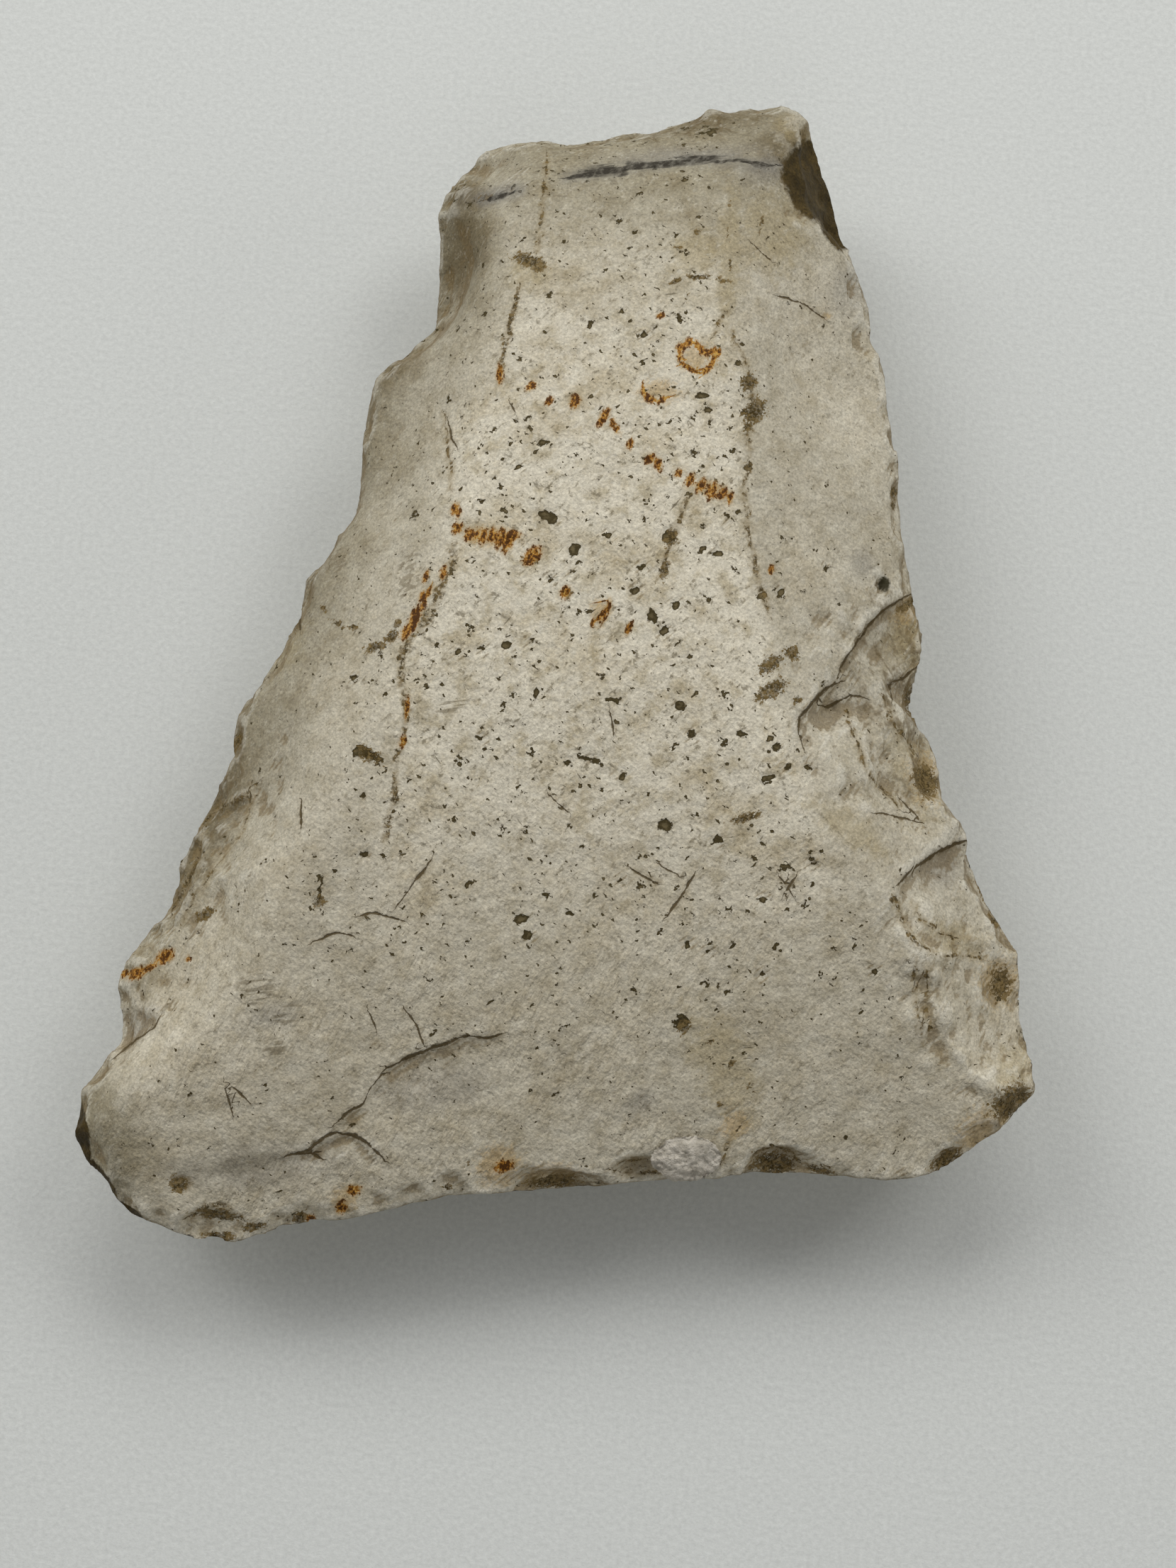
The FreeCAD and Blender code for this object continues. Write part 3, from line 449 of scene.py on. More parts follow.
# Cracks, and painted shadows along thin steps, with their half width
crack_and_step_shadow_lines = [
    (0.1, [(-11.9, -27.6), (-10.8, -28.9), (-10.1, -30.3)]),
    (0.12, [(-14.3, -34.8), (-15.2, -35.4), (-16.2, -36.4)]),
    (0.15, [(-12.9, -32.2), (-11.3, -31.2), (-9.9, -30.5), (-8.1, -29.7), (-6.7, -29.2),
        (-5.6, -29.4), (-4.4, -28.9)]),
    (0.18, [(-19.6, -39), (-18, -38.5), (-16.9, -37.4), (-16, -37)]),
    (0.12, [(-18.4, -38.4), (-17, -39)]),
    (0.16, [(-16, -37.1), (-14.6, -37.2), (-13.5, -37.7), (-12.4, -38.7)]),
    (0.12, [(24.3, -15.8), (25.4, -14.3)]),
    (0.1, [(25.2, 7.2), (23.4, 6.4), (22.1, 5.3), (21, 4.1), (20.2, 2.6), (19.3, 1.2), (18.9, -0.4)]),
    (0.14, [(19.2, -0.4), (18.1, -1), (17.2, -2.1), (16.3, -3.4), (16.2, -4.8)]),
    (0.08, [(16.2, -4.4), (16.8, -6.2)]),
    (0.13, [(21.2, -1.5), (19.9, -1.4), (19.3, -1.8), (18.3, -2.5), (17.5, -2.3)]),
    (0.1, [(22.4, -10.3), (25.8, -10.8)]),
    (0.12, [(25.2, 1.4), (23.8, 0.1), (22.8, -0.3), (23.2, -1.5)]),
    (0.16, [(29.5, -11.9), (28.1, -12.4), (26.8, -13.3), (25.2, -14.6)]),
    (0.08, [(24, -9), (26, -10.8)]),
    (0.07, [(15.4, -15.6), (16.8, -17.4)]),
    (0.07, [(16.8, -15.4), (15.6, -17.2)]),
    (0.08, [(-12.9, -32.2), (-13.7, -33.4), (-14.3, -34.7)]),
    (0.12, [(-10.7, -16.2), (-12, -18.2), (-13.1, -19.9)]),
    (0.11, [(-15.9, -21), (-14.8, -20.6), (-13.6, -20.8), (-12.2, -21.1)]),
    (0.1, [(6.3, -15.4), (7.9, -16.2)]),
    (0.11, [(-19.1, -23.1), (-18, -22.6), (-17.2, -22.2), (-16, -22.4)]),
    (0.12, [(9.2, -15.9), (8.2, -17.6), (7.1, -19.5)]),
    (0.08, [(4.1, -15.8), (5.2, -16.4), (6.4, -16.8)]),
    (0.1, [(-29.9, -29.4), (-30.4, -30.4), (-31.6, -31.4), (-33, -32.8)]),
    (0.12, [(-22.3, 0.6), (-22.5, 2.9)]),
    (0.09, [(-24.7, -34), (-23.8, -36.3)]),
    (0.08, [(-24.3, -34.1), (-22.6, -35.4)]),
    (0.1, [(14.5, 29.7), (12.6, 30.2)]),
    (0.08, [(16.4, 28.6), (14.6, 29.7)]),
    (0.08, [(10.3, 34.4), (12, 33)]),
    (0.09, [(-14.5, -27.9), (-13.8, -29.3)]),
    (0.09, [(-12.4, 18.4), (-11.9, 16.7), (-11.3, 15.8)]),
    (0.07, [(-7.7, 20), (-7.2, 19)]),
    (0.08, [(1.9, -3.9), (2.2, -5.9)]),
    (0.07, [(-2.3, -10.7), (-0.7, -12)]),
    (0.1, [(-21, -12.4), (-20.8, -14.6)]),
]
# Rows of short parallel strokes
chatter_spots = [
    (-14.3, 5.6, 2, 1, 82), (-19.9, 6.3, 1.2, 0.7, 60), (-23.1, -26.8, 1.5, 1.3, 17),
    (-20.4, -28.6, 1.3, 0.7, 20), (-21.2, -31.2, 0.9, 0.7, 25), (-10.2, -4.4, 1.4, 0.5, 20),
]
# Pits of the ground face
pits = [
    (-16.8, -8.5, 0.55, 0.45), (-15.7, -8.8, 0.6, 0.22, -30), (-4.2, 11.1, 0.7, 0.3, -10),
    (-3.6, 10.8, 0.3, 0.25), (-1.8, 8.5, 0.35, 0.4), (5.4, 10.1, 0.55, 0.4, 40),
    (4.5, 3.7, 0.4, 0.5, 20), (5.5, 2.6, 0.35, 0.25, 40), (6.3, 4.7, 0.3, 0.3),
    (3.1, 5.6, 0.3, 0.2, 30), (-2.1, 6.8, 0.3, 0.15, 60), (-3.4, 5.9, 0.25, 0.2),
    (-6.4, 0.7, 0.35, 0.25, 30), (-8.3, 0.3, 0.3, 0.2), (-4.6, 1.1, 0.25, 0.3),
    (-17.8, -2.8, 0.3, 0.25), (-3.8, -2.9, 0.5, 0.2, 80), (2.3, -3.1, 0.75, 0.22, -20),
    (7.1, -3.2, 0.35, 0.3, 60), (8.1, -5.4, 0.35, 0.3), (-7.9, -6.8, 0.3, 0.2), (-1, -8.2, 0.4, 0.2),
    (0.6, -7.8, 0.75, 0.22), (3.2, -8.8, 0.35, 0.2, 30), (6.5, -12.4, 0.45, 0.38, 10),
    (10.6, -13.2, 0.3, 0.3), (-3.7, -20.2, 0.45, 0.3), (-3.1, -21.4, 0.35, 0.3),
    (8.8, -21.3, 0.25, 0.2), (10.4, -21.6, 0.25, 0.2), (14.3, -17.5, 0.3, 0.22),
    (17.8, -14.4, 0.4, 0.15, -35), (8.8, -27.2, 0.5, 0.4, 60), (12, -4.9, 0.4, 0.22),
    (14.7, -5.8, 0.35, 0.3, 20), (15.6, -7.3, 0.3, 0.2), (17.1, -7.2, 0.25, 0.2),
    (14.2, -8.2, 0.45, 0.2, 10), (12.8, 5.9, 0.35, 0.2, 10), (14.2, 6.2, 0.3, 0.2, 60),
    (9.2, 9, 0.4, 0.2), (8, 9.3, 0.35, 0.2, 30), (2.4, 26.2, 0.3, 0.25), (-1.9, 26.7, 0.18, 0.4, 20),
    (7.2, 21.6, 0.4, 0.25, 10), (7.7, 20.5, 0.4, 0.25, -20), (-4.8, 16.9, 0.45, 0.18, 20),
    (-6.6, 14.8, 0.35, 0.15, 20), (-16.4, -11.7, 0.2, 0.4), (-16, -16.2, 0.45, 0.2),
    (-19, -19.2, 0.15, 0.8), (17.6, 8.5, 0.15, 0.3, 10), (-10.1, -0.2, 0.3, 0.2), (0.7, 9.8, 0.25, 0.2),
    (3.4, 7.4, 0.2, 0.2), (9.8, 11.8, 0.2, 0.3), (23, -22.3, 0.2, 0.18), (14.6, -23.1, 0.2, 0.18),
    (3.4, -16.7, 0.35, 0.15, -30), (11.2, 16, 0.3, 0.2),
]
# The round hole through the patina on the right flank
hole = (22.1, 7.5, 0.5, 0.62)


# The nearest of many spots, as they are seen: 1 in the middle of one and 0.5 on its border
def spot_field(surface, rows):
    field = np.zeros(len(surface.points))
    for x, y, *shape in rows:
        field = np.maximum(field, 1 - ellipse_distance(surface.seen - (x, y), *shape) / 2)
    return field


# For the nearest of many lines: the distance over the half width, with a sign for the side, and
# how near the line is, from 1 on it to 0 at the reach. The lines are shaken by a share of the drift.
def line_fields(surface, rows, reach, shake):
    nearest = np.full(len(surface.points), reach)
    signed = np.full(len(surface.points), 9.0)
    for width, corners in rows:
        distance, side, share = line_distance(surface.seen + shake * surface.drift, corners)
        taper = 0.35 + 0.65 * np.sqrt(np.clip(np.sin(math.pi * share), 0, 1))
        nearer = distance < nearest
        nearest = np.where(nearer, distance, nearest)
        signed = np.where(nearer, distance * side / (width * taper), signed)
    return signed, (1 - nearest / reach) * surface.upper


# The two ridges of the old ground face, each place as its y and x
left_ridge = [
    (40, -6.3), (32, -6.5), (25, -8.3), (21, -9.0), (18.5, -12.0), (12.5, -11.6), (5, -11.7), (0, -14.0),
    (-14, -14.2), (-30, -24.0),
]
right_ridge = [
    (40, 7.6), (28.4, 9.0), (24, 10.4), (16, 11.1), (11, 11.5), (4, 13.7), (-4, 15.4), (-30, 26.0),
]


# Where the ground face lies between them, from 0 at the low y to 1 at the high one
def between_ridges(seen, left_fade, low, high):
    lefts = np.interp(seen[:, 1], *np.array(left_ridge[::-1]).T)
    rights = np.interp(seen[:, 1], *np.array(right_ridge[::-1]).T)
    inside = rise(seen[:, 0] - lefts, *left_fade) * rise(rights - seen[:, 0], -1.0, 1.4)
    return inside * rise(seen[:, 1], low, high)


# The rim seen from above: the outermost point in each direction from the middle of the stone
def rim_places(surface):
    middle = np.array([0.0, -8.0])
    offset = surface.points[:, :2] - middle
    angle = np.arctan2(offset[:, 1], offset[:, 0])
    slot = ((angle + math.pi) / (2 * math.pi) * rim_directions).astype(int) % rim_directions
    outermost = {}
    for index in np.lexsort((np.hypot(*offset.T), slot)):
        outermost[slot[index]] = index
    return [outermost[number] for number in sorted(outermost)]


# Small flake scars along the rim, on both faces. The ranges are for the way from one to the next,
# their half width, how far they face outward and up, their turn, lift, and depth over half width.
rim_directions = 420
chip_seed = 11
chip_gap = (0.8, 2.6)
chip_size = (0.35, 1.0)
chip_outward = (0.3, 0.8)
chip_upward = (0.8, 1.2)
chip_turn = (-25, 25)
chip_lift = (0.0, 0.4)
chip_depth_share = (0.15, 0.3)
chip_limit = 0.3


def chip_the_rim(surface, picks):
    rim = surface.points[rim_places(surface)]
    following = np.roll(rim, -1, axis=0)
    lengths = np.hypot(*(following - rim)[:, :2].T)
    travelled = 0
    due = 0
    for here, onward, length in zip(rim, following, lengths):
        travelled += length
        if travelled < due:
            continue
        due = travelled + picks.uniform(*chip_gap)
        way = (onward - here)[:2] / max(length, 1e-6)
        outward = np.array([way[1], -way[0], 0])
        for face in (1, -1):
            size = picks.uniform(*chip_size)
            normal = outward * picks.uniform(*chip_outward)
            normal = normal + np.array([0, 0, face * picks.uniform(*chip_upward)])
            normal /= np.linalg.norm(normal)
            bearing = math.degrees(math.atan2(outward[1], outward[0])) + picks.uniform(*chip_turn)
            place = here + np.array([0, 0, face * picks.uniform(*chip_lift)])
            depth = size * picks.uniform(*chip_depth_share)
            surface.carve(place, normal, bearing, size * 1.5, size, depth, 3, (0, 1), chip_limit)


# Softens both faces, and leaves the sharp parts and the rim
def weather(surface, sharp):
    height = surface.points[:, 2] - rim_level
    above = rise(height, 1.5, 3.5) * (1 - 0.9 * sharp)
    surface.smooth(0.5 * above + 0.18 * rise(-height, 2.0, 4.0), 60)
    surface.settle()


# Sinks shallow hollows of three sizes into the surface, deeper in the sharp parts
def roughen(surface, sharp):
    hollows = waves(surface.points, 9, 1) * 0.24 + waves(surface.points, 3.2, 2) * (0.12 + 0.35 * sharp)
    hollows += waves(surface.points, 1.1, 4) * (0.05 + 0.12 * sharp)
    near_rim = 1 - rise(np.abs(surface.points[:, 2] - rim_level), 0.8, 2.5)
    hollows = np.clip(hollows + 0.08, 0, 0.4 + 0.2 * sharp - 0.28 * near_rim)
    surface.points -= surface.normals * hollows[:, None]
    surface.settle()


def sculpted_stone():
    stone = remeshed_copy("axe_head", "stone", stone_square)
    surface = Surface(stone.data)
    sharp = rise(spot_field(surface, sharp_spots) * surface.upper, 0.42, 0.6)
    weather(surface, sharp)
    surface.shake_lines(0.42, 1.5)
    for row in flake_scars:
        surface.carve_seen(*row)
    for row in steps:
        surface.step_down(*row)
    surface.settle()
    chip_the_rim(surface, random.Random(chip_seed))
    surface.settle()
    roughen(surface, sharp)
    for depth, spots in ((0.2, pits), (0.9, [hole])):
        for x, y, reach, spread, *bearing in spots:
            surface.carve_seen(x, y, *(bearing or [0]), reach, spread, depth, 4)
    surface.smooth(np.full(len(surface.points), 0.2), 1)
    surface.settle()
    return stone, surface


# How hollow the surface is at each point, from -1 on a ridge to 1 in a hollow
def hollowness(surface, scale, rounds):
    lift = ((surface.around(surface.points) - surface.points) * surface.normals).sum(1)
    for _ in range(rounds):
        lift = surface.around(lift)
    return np.clip(lift / scale, -1, 1)


# Writes where the marks are, for the material: some go all round the stone, the rest show on top.
# Each family of lines has its reach and its shake.
def write_marks(surface):
    mesh = surface.mesh
    all_round = {"dull": dull_spots, "dark": dark_spots, "ochre": ochre_spots, "fresh": fresh_spots}
    on_top = {
        "rust": rust_spots, "orange": orange_spots, "dirt": dirt_spots, "stain": grey_spots,
        "pit": pits, "hole": [hole], "chatter": chatter_spots,
    }
    for name, rows in all_round.items():
        write_attribute(mesh, name, spot_field(surface, rows))
    for name, rows in on_top.items():
        write_attribute(mesh, name, spot_field(surface, rows) * surface.upper)
    for name, rows, reach, shake in (
        ("rust_line", rust_lines, 0.9, 0.4), ("dirt_line", dirt_lines, 0.9, 1),
        ("step_shadow", shadowed_step_lines, 1.5, 0.4), ("crack_and_step_shadow", crack_and_step_shadow_lines, 0.9, 0.4),
    ):
        signed, near = line_fields(surface, rows, reach, shake)
        write_attribute(mesh, name + "_side", signed)
        write_attribute(mesh, name + "_near", near)
    write_attribute(mesh, "rough", rise(spot_field(surface, rough_spots) * surface.upper, 0.42, 0.7))
    ground = between_ridges(surface.seen, (-2.8, 2.4), -25, -8)
    ground *= 1 - 0.6 * rise(surface.seen[:, 1], 16, 36)
    write_attribute(mesh, "ground", ground * surface.upper)
    worn = between_ridges(surface.seen, (-7.0, 0.5), -34, -16)
    write_attribute(mesh, "worn", worn * surface.upper)
    write_attribute(mesh, "blade", rise(-surface.seen[:, 1], 12, 26))
    write_attribute(mesh, "hollow", hollowness(surface, 0.018, 2))
    flat = rise(np.abs(surface.normals[:, 2]), 0.35, 0.8)
    write_attribute(mesh, "rim", (1 - flat) * (np.abs(surface.points[:, 2] - rim_level) < 3))


class Tree:
    """Adds nodes to the node tree of a new material, and joins them as it goes. Its colour is what
    has been painted so far."""

    def __init__(self, name):
        self.material = bpy.data.materials.new(name)
        self.material.use_nodes = True
        self.nodes = self.material.node_tree.nodes
        self.links = self.material.node_tree.links
        self.shader = self.nodes["Principled BSDF"]
        metres = self.put("TexCoord", {}).outputs["Object"]
        self.place = self.scaled(metres, 1 / MM)

    def put(self, kind, inputs, **settings):
        made = self.nodes.new("ShaderNode" + kind)
        for name, value in settings.items():
            setattr(made, name, value)
        for name, value in inputs.items():
            if isinstance(value, bpy.types.NodeSocket):
                self.links.new(value, made.inputs[name])
            else:
                made.inputs[name].default_value = value
        return made

    def joined(self, operation, values):
        total = values[0]
        for value in values[1:]:
            total = self.put("Math", {0: total, 1: value}, operation=operation).outputs[0]
        return total

    def times(self, *values):
        return self.joined("MULTIPLY", values)

    def most(self, *values):
        return self.joined("MAXIMUM", values)

    # Each term is a value, or a value with its weight
    def sum(self, *terms):
        values = [self.times(*term) if isinstance(term, tuple) else term for term in terms]
        return self.joined("ADD", values)

    # A value that lies between two others, turned to one between two new ones
    def ramp(self, value, low, high, to_low, to_high, way="LINEAR"):
        inputs = {"Value": value, "From Min": low, "From Max": high, "To Min": to_low, "To Max": to_high}
        return self.put("MapRange", inputs, interpolation_type=way).outputs[0]

    def rise(self, value, low, high):
        return self.ramp(value, low, high, 0, 1, "SMOOTHSTEP")

    def fall(self, value, low, high):
        return self.ramp(value, low, high, 1, 0, "SMOOTHSTEP")

    def noise(self, size, detail=3, roughness=0.55, place=None):
        inputs = {0: place or self.place, "Scale": 1 / size, "Detail": detail, "Roughness": roughness}
        return self.put("TexNoise", inputs).outputs[0]

    # How far a point is from the middle of its cell, or from the cell's border
    def cells(self, place, size, feature="F1"):
        made = self.put("TexVoronoi", {0: place, "Scale": 1 / size}, feature=feature)
        return made.outputs["Distance"]

    # The place stretched so that what is drawn on it is long along a bearing
    def drawn_out(self, bearing, stretch, shift=0):
        inputs = {
            "Vector": self.place, "Location": (shift, shift, shift),
            "Rotation": (0, 0, math.radians(-bearing)),
        }
        turned = self.put("Mapping", inputs).outputs[0]
        return self.put("Mapping", {"Vector": turned, "Scale": (1 / stretch, 1, 1)}).outputs[0]

    # The place shaken by noise, so that round things come out ragged
    def shaken(self, place, size, amount):
        colour = self.put("TexNoise", {0: place, "Scale": 1 / size, "Detail": 2}).outputs["Color"]
        centred = self.put("VectorMath", {0: colour, 1: (0.5, 0.5, 0.5)}, operation="SUBTRACT").outputs[0]
        inputs = {0: place, 1: self.scaled(centred, amount)}
        return self.put("VectorMath", inputs, operation="ADD").outputs[0]

    # Scattered specks, one or none in each cell: 1 in the middle of a speck, 0.5 on its border
    def specks(self, cell, largest, share, place):
        cells = self.put("TexVoronoi", {"Vector": place, "Scale": 1 / cell}, distance="MANHATTAN")
        colour = self.put("SeparateColor", {"Color": cells.outputs["Color"]}).outputs[0]
        radius = self.ramp(colour, 1 - share, 1, 0.001, largest / cell)
        out = self.joined("DIVIDE", (cells.outputs["Distance"], radius))
        return self.ramp(out, 0, 2, 1, 0)

    # Lines of a family, 1 on a line: a noise makes them wider, thinner and broken
    def lines(self, name, unevenness, thinnest, widest, soft=1.3):
        away = self.put("Math", {0: self.attribute(name + "_side")}, operation="ABSOLUTE").outputs[0]
        out = self.joined("DIVIDE", (away, self.ramp(unevenness, 0.36, 0.62, thinnest, widest)))
        near = self.rise(self.attribute(name + "_near"), 0.42, 0.56)
        return self.times(self.fall(out, 0.5, soft), near)

    def attribute(self, name):
        return self.put("Attribute", {}, attribute_name=name).outputs["Fac"]

    # Where an attribute is high, with a border that noises shift
    def area(self, name, low, high, *noises):
        return self.rise(self.sum(self.attribute(name), *noises), low, high)

    def mix(self, share, first, second, blend="MIX"):
        made = self.nodes.new("ShaderNodeMix")
        made.data_type = "RGBA"
        made.blend_type = blend
        for index, value in ((0, share), (6, first), (7, second)):
            if isinstance(value, bpy.types.NodeSocket):
                self.links.new(value, made.inputs[index])
            else:
                made.inputs[index].default_value = value if index == 0 else (*value, 1)
        return made.outputs[2]

    # Lays a colour over what is there, as far as the product of the shares goes
    def paint(self, colour, *shares):
        self.colour = self.mix(self.times(*shares), self.colour, colour)

    # Multiplies what is there by a colour, as far as the product of the shares goes
    def tint(self, colour, *shares):
        self.colour = self.mix(self.times(*shares), self.colour, colour, "MULTIPLY")

    # A place or a colour times a factor, which makes a colour brighter or darker
    def scaled(self, vector, factor):
        return self.put("VectorMath", {0: vector, 3: factor}, operation="SCALE").outputs[0]

    def finish(self, roughness, height, gloss):
        self.shader.inputs["Specular IOR Level"].default_value = gloss
        bump = self.put("Bump", {"Height": height, "Strength": 1, "Distance": MM}).outputs[0]
        self.links.new(self.colour, self.shader.inputs["Base Color"])
        self.links.new(roughness, self.shader.inputs["Roughness"])
        self.links.new(bump, self.shader.inputs["Normal"])
        return self.material


class Flint(Tree):
    """The patinated flint, layer on layer, with the noises that the layers share."""

    def __init__(self):
        super().__init__("patinated_flint")
        self.ground = self.attribute("ground")
        self.cloud = self.noise(9, 4)
        self.patch = self.noise(4.2, 4, 0.6)
        self.blotch = self.noise(1.6, 4, 0.62)
        self.grain = self.noise(0.42, 3, 0.65, self.drawn_out(48, 1.7))
        self.fine = self.noise(0.21, 2, 0.7)
        self.uneven = self.sum((self.fine, 0.5), (self.grain, 0.5), -0.5)
        self.breaks = self.sum((self.blotch, 0.4), (self.grain, 0.6))
        self.angular = self.shaken(self.drawn_out(40, 1.4), 0.35, 0.7)
        self.ragged = self.shaken(self.drawn_out(-35, 1.6, 5.0), 0.25, 0.45)

    # A share that differs off the ground face and on it
    def by_ground(self, off, on):
        return self.ramp(self.ground, 0, 1, off, on)

    # Cream patina in soft blotches, paler on the ground face
    def paint_patina(self):
        darker, paler = (0.515, 0.468, 0.36), (0.585, 0.533, 0.415)
        self.colour = self.mix(self.rise(self.cloud, 0.35, 0.65), darker, paler)
        self.paint((0.76, 0.7, 0.56), self.ground, 0.75)
        self.tint((0.76, 0.71, 0.61), self.rise(self.patch, 0.46, 0.7), self.by_ground(0.45, 0.85))
        self.tint((0.7, 0.66, 0.57), self.rise(self.blotch, 0.46, 0.7), self.by_ground(0.5, 0.95))
        self.paint((0.7, 0.66, 0.54), self.fall(self.blotch, 0.3, 0.46), 0.35)

    # Dull and dark parts, then yellow, orange and grey stains
    def paint_stains(self):
        self.tint((0.55, 0.53, 0.465), self.area("dull", 0.42, 1.0, (self.patch, 0.3)))
        self.tint((0.52, 0.46, 0.34), self.area("dark", 0.5, 1.1, (self.blotch, 0.5)), 0.85)
        ochre = self.area("ochre", 0.85, 1.4, (self.blotch, 0.7), (self.grain, 0.5))
        self.paint((0.4, 0.325, 0.18), ochre, 0.5)
        halo = self.most(self.attribute("orange"), self.times(self.attribute("rust_line_near"), 0.7))
        halo = self.rise(self.sum(halo, (self.grain, 0.8), (self.fine, 0.5)), 1.02, 1.42)
        self.paint((0.47, 0.325, 0.14), halo, 0.6)
        self.paint((0.25, 0.235, 0.205), self.area("stain", 0.6, 1.15, (self.blotch, 0.6)), 0.42)

    # Hollows keep brown dirt, darkened further as painted shade, ridges are rubbed pale, and the rim is
    # dark in places
    def paint_hollows(self):
        # Brown in the hollows: dirt, and painted shade in the recesses
        hollow_dirt_and_shade = self.area("hollow", 1.0, 1.6, (self.blotch, 0.6), (self.grain, 0.9))
        self.paint((0.19, 0.127, 0.046), hollow_dirt_and_shade, 0.55)
        self.paint((0.74, 0.71, 0.61), self.fall(self.attribute("hollow"), -0.9, -0.3), 0.35)
        self.paint((0.18, 0.122, 0.048), self.area("rim", 0.9, 1.5, (self.blotch, 0.9)), 0.65)

    # Flecks, dark and pale, short strokes, and the grinding scratches of the blade
    def paint_flecks(self):
        self.fleck = self.rise(self.grain, 0.57, 0.7)
        self.paint((0.21, 0.175, 0.11), self.fleck, self.by_ground(0.5, 0.75))
        other = self.rise(self.noise(0.8, 4, 0.7, self.drawn_out(-30, 1.6, 7.0)), 0.6, 0.7)
        self.paint((0.18, 0.15, 0.095), other, self.by_ground(0.4, 0.7))
        self.paint((0.74, 0.7, 0.585), self.fall(self.grain, 0.3, 0.44), self.by_ground(0.2, 0.4))
        strokes = self.most(
            self.specks(0.9, 0.1, 0.4, self.drawn_out(55, 8, 3.0)),
            self.specks(0.9, 0.1, 0.35, self.drawn_out(-50, 8, 6.0)),
            self.specks(1.0, 0.1, 0.3, self.drawn_out(10, 9, 9.0)),
        )
        self.stroke = self.times(self.rise(strokes, 0.45, 0.65), self.by_ground(0.6, 0.8))
        self.paint((0.14, 0.115, 0.065), self.stroke, self.rise(self.patch, 0.3, 0.6))
        scratches = self.rise(self.noise(0.55, 3, 0.6, self.drawn_out(70, 8, 1.0)), 0.42, 0.66)
        wide = self.rise(self.cloud, 0.38, 0.55)
        self.scratches = self.times(scratches, self.attribute("blade"), wide)
        self.tint((0.76, 0.73, 0.66), self.scratches, 0.4)

    # Fine grain all over, painted light that makes the blade a little paler, and flint that has lost its
    # patina
    def paint_grain(self):
        self.colour = self.scaled(self.colour, self.ramp(self.fine, 0.28, 0.72, 0.74, 1.26))
        # Painted light: the blade's colour is raised to stand in for light from the front
        self.colour = self.scaled(self.colour, self.ramp(self.attribute("blade"), 0, 1, 1, 1.07))
        fresh = self.area("fresh", 0.68, 0.78, (self.blotch, 0.25), (self.grain, 0.16))
        bare = self.mix(self.rise(self.blotch, 0.35, 0.7), (0.042, 0.028, 0.007), (0.088, 0.059, 0.018))
        self.paint(self.scaled(bare, self.ramp(self.fine, 0.3, 0.7, 0.6, 1.4)), fresh)

    # Pits of the ground face, with brown fill and a dark border of painted shade: scattered ones, and
    # larger ones in their places
    def paint_pits(self):
        worn = self.ramp(self.attribute("worn"), 0, 1, 0.7, 1)
        density = self.times(worn, self.ramp(self.patch, 0.38, 0.6, 0.8, 1.1))
        scattered = self.most(
            self.specks(0.45, 0.17, 0.7, self.ragged), self.specks(0.85, 0.3, 0.55, self.angular),
            self.specks(1.7, 0.5, 0.4, self.shaken(self.place, 0.35, 1.1)),
            self.specks(3.8, 0.8, 0.25, self.shaken(self.drawn_out(20, 1.3, 9.0), 0.5, 1.3)),
        )
        larger = self.attribute("pit")
        torn = self.times(self.sum(self.noise(0.75, 2, 0.6), -0.5), self.rise(larger, 0, 0.3), 1.6)
        pit = self.most(self.times(scattered, density), self.sum((larger, 1.18), torn))
        pit = self.sum(pit, (self.uneven, 0.9))
        self.pitted = self.rise(pit, 0.45, 0.53)
        # Painted shade: the dark border stands for the shade in the pits' walls, the browner middle is
        # their fill
        border, middle = (0.068, 0.051, 0.02), (0.16, 0.125, 0.062)
        self.paint(self.mix(self.rise(pit, 0.64, 1.0), border, middle), self.pitted)

    # Dirt, in spots and in broken lines with a brown border
    def paint_dirt(self):
        near = self.attribute("dirt_line_near")
        self.paint((0.31, 0.235, 0.12), self.rise(self.sum(near, (self.grain, 0.8)), 0.85, 1.5), 0.55)
        granular = self.rise(self.noise(0.3, 3, 0.7), 0.4, 0.54)
        line = self.lines("dirt_line", self.breaks, 0.1, 1.7)
        line = self.times(line, granular, self.rise(self.noise(1.1, 2), 0.4, 0.54))
        along = self.rise(self.sum(near, (self.sum(self.blotch, -0.5), 0.9)), 0.35, 0.95)
        clumps = self.times(self.specks(0.55, 0.34, 0.9, self.ragged), along)
        clumps = self.rise(self.sum(clumps, (self.uneven, 0.9)), 0.42, 0.52)
        self.dirt_line = self.most(line, clumps)
        spot = self.area("dirt", 0.46, 0.55, (self.uneven, 2.0))
        spot = self.times(spot, self.ramp(granular, 0, 1, 0.75, 1))
        self.dirt = self.most(self.times(self.dirt_line, 0.95), spot)
        tone = self.rise(self.sum(self.fine, self.grain, -0.5), 0.38, 0.66)
        self.paint(self.mix(tone, (0.062, 0.042, 0.013), (0.205, 0.142, 0.056)), self.dirt)

    # Rust in small upright strokes and grains, golden, orange-brown and dark, on a pale stain
    def paint_rust(self):
        upright = self.noise(0.3, 2, 0.6, self.drawn_out(85, 2.2, 4.0))
        rust = self.sum(self.attribute("rust"), (self.sum(upright, self.fine, -1.0), 0.9))
        line = self.lines("rust_line", self.sum((upright, 0.6), (self.fine, 0.4)), 0.1, 1.5)
        core = self.sum((rust, 0.25), (line, 0.12), (self.sum(self.fine, upright), 0.5))
        tone = self.mix(self.rise(core, 0.52, 0.63), (0.6, 0.36, 0.085), (0.36, 0.155, 0.022))
        tone = self.mix(self.rise(core, 0.63, 0.73), tone, (0.085, 0.032, 0.005))
        self.paint((0.5, 0.34, 0.15), self.area("rust", 0.4, 0.85, (upright, 0.5)), 0.6)
        self.rusted = self.most(self.rise(rust, 0.37, 0.56), line)
        self.paint(tone, self.rusted)
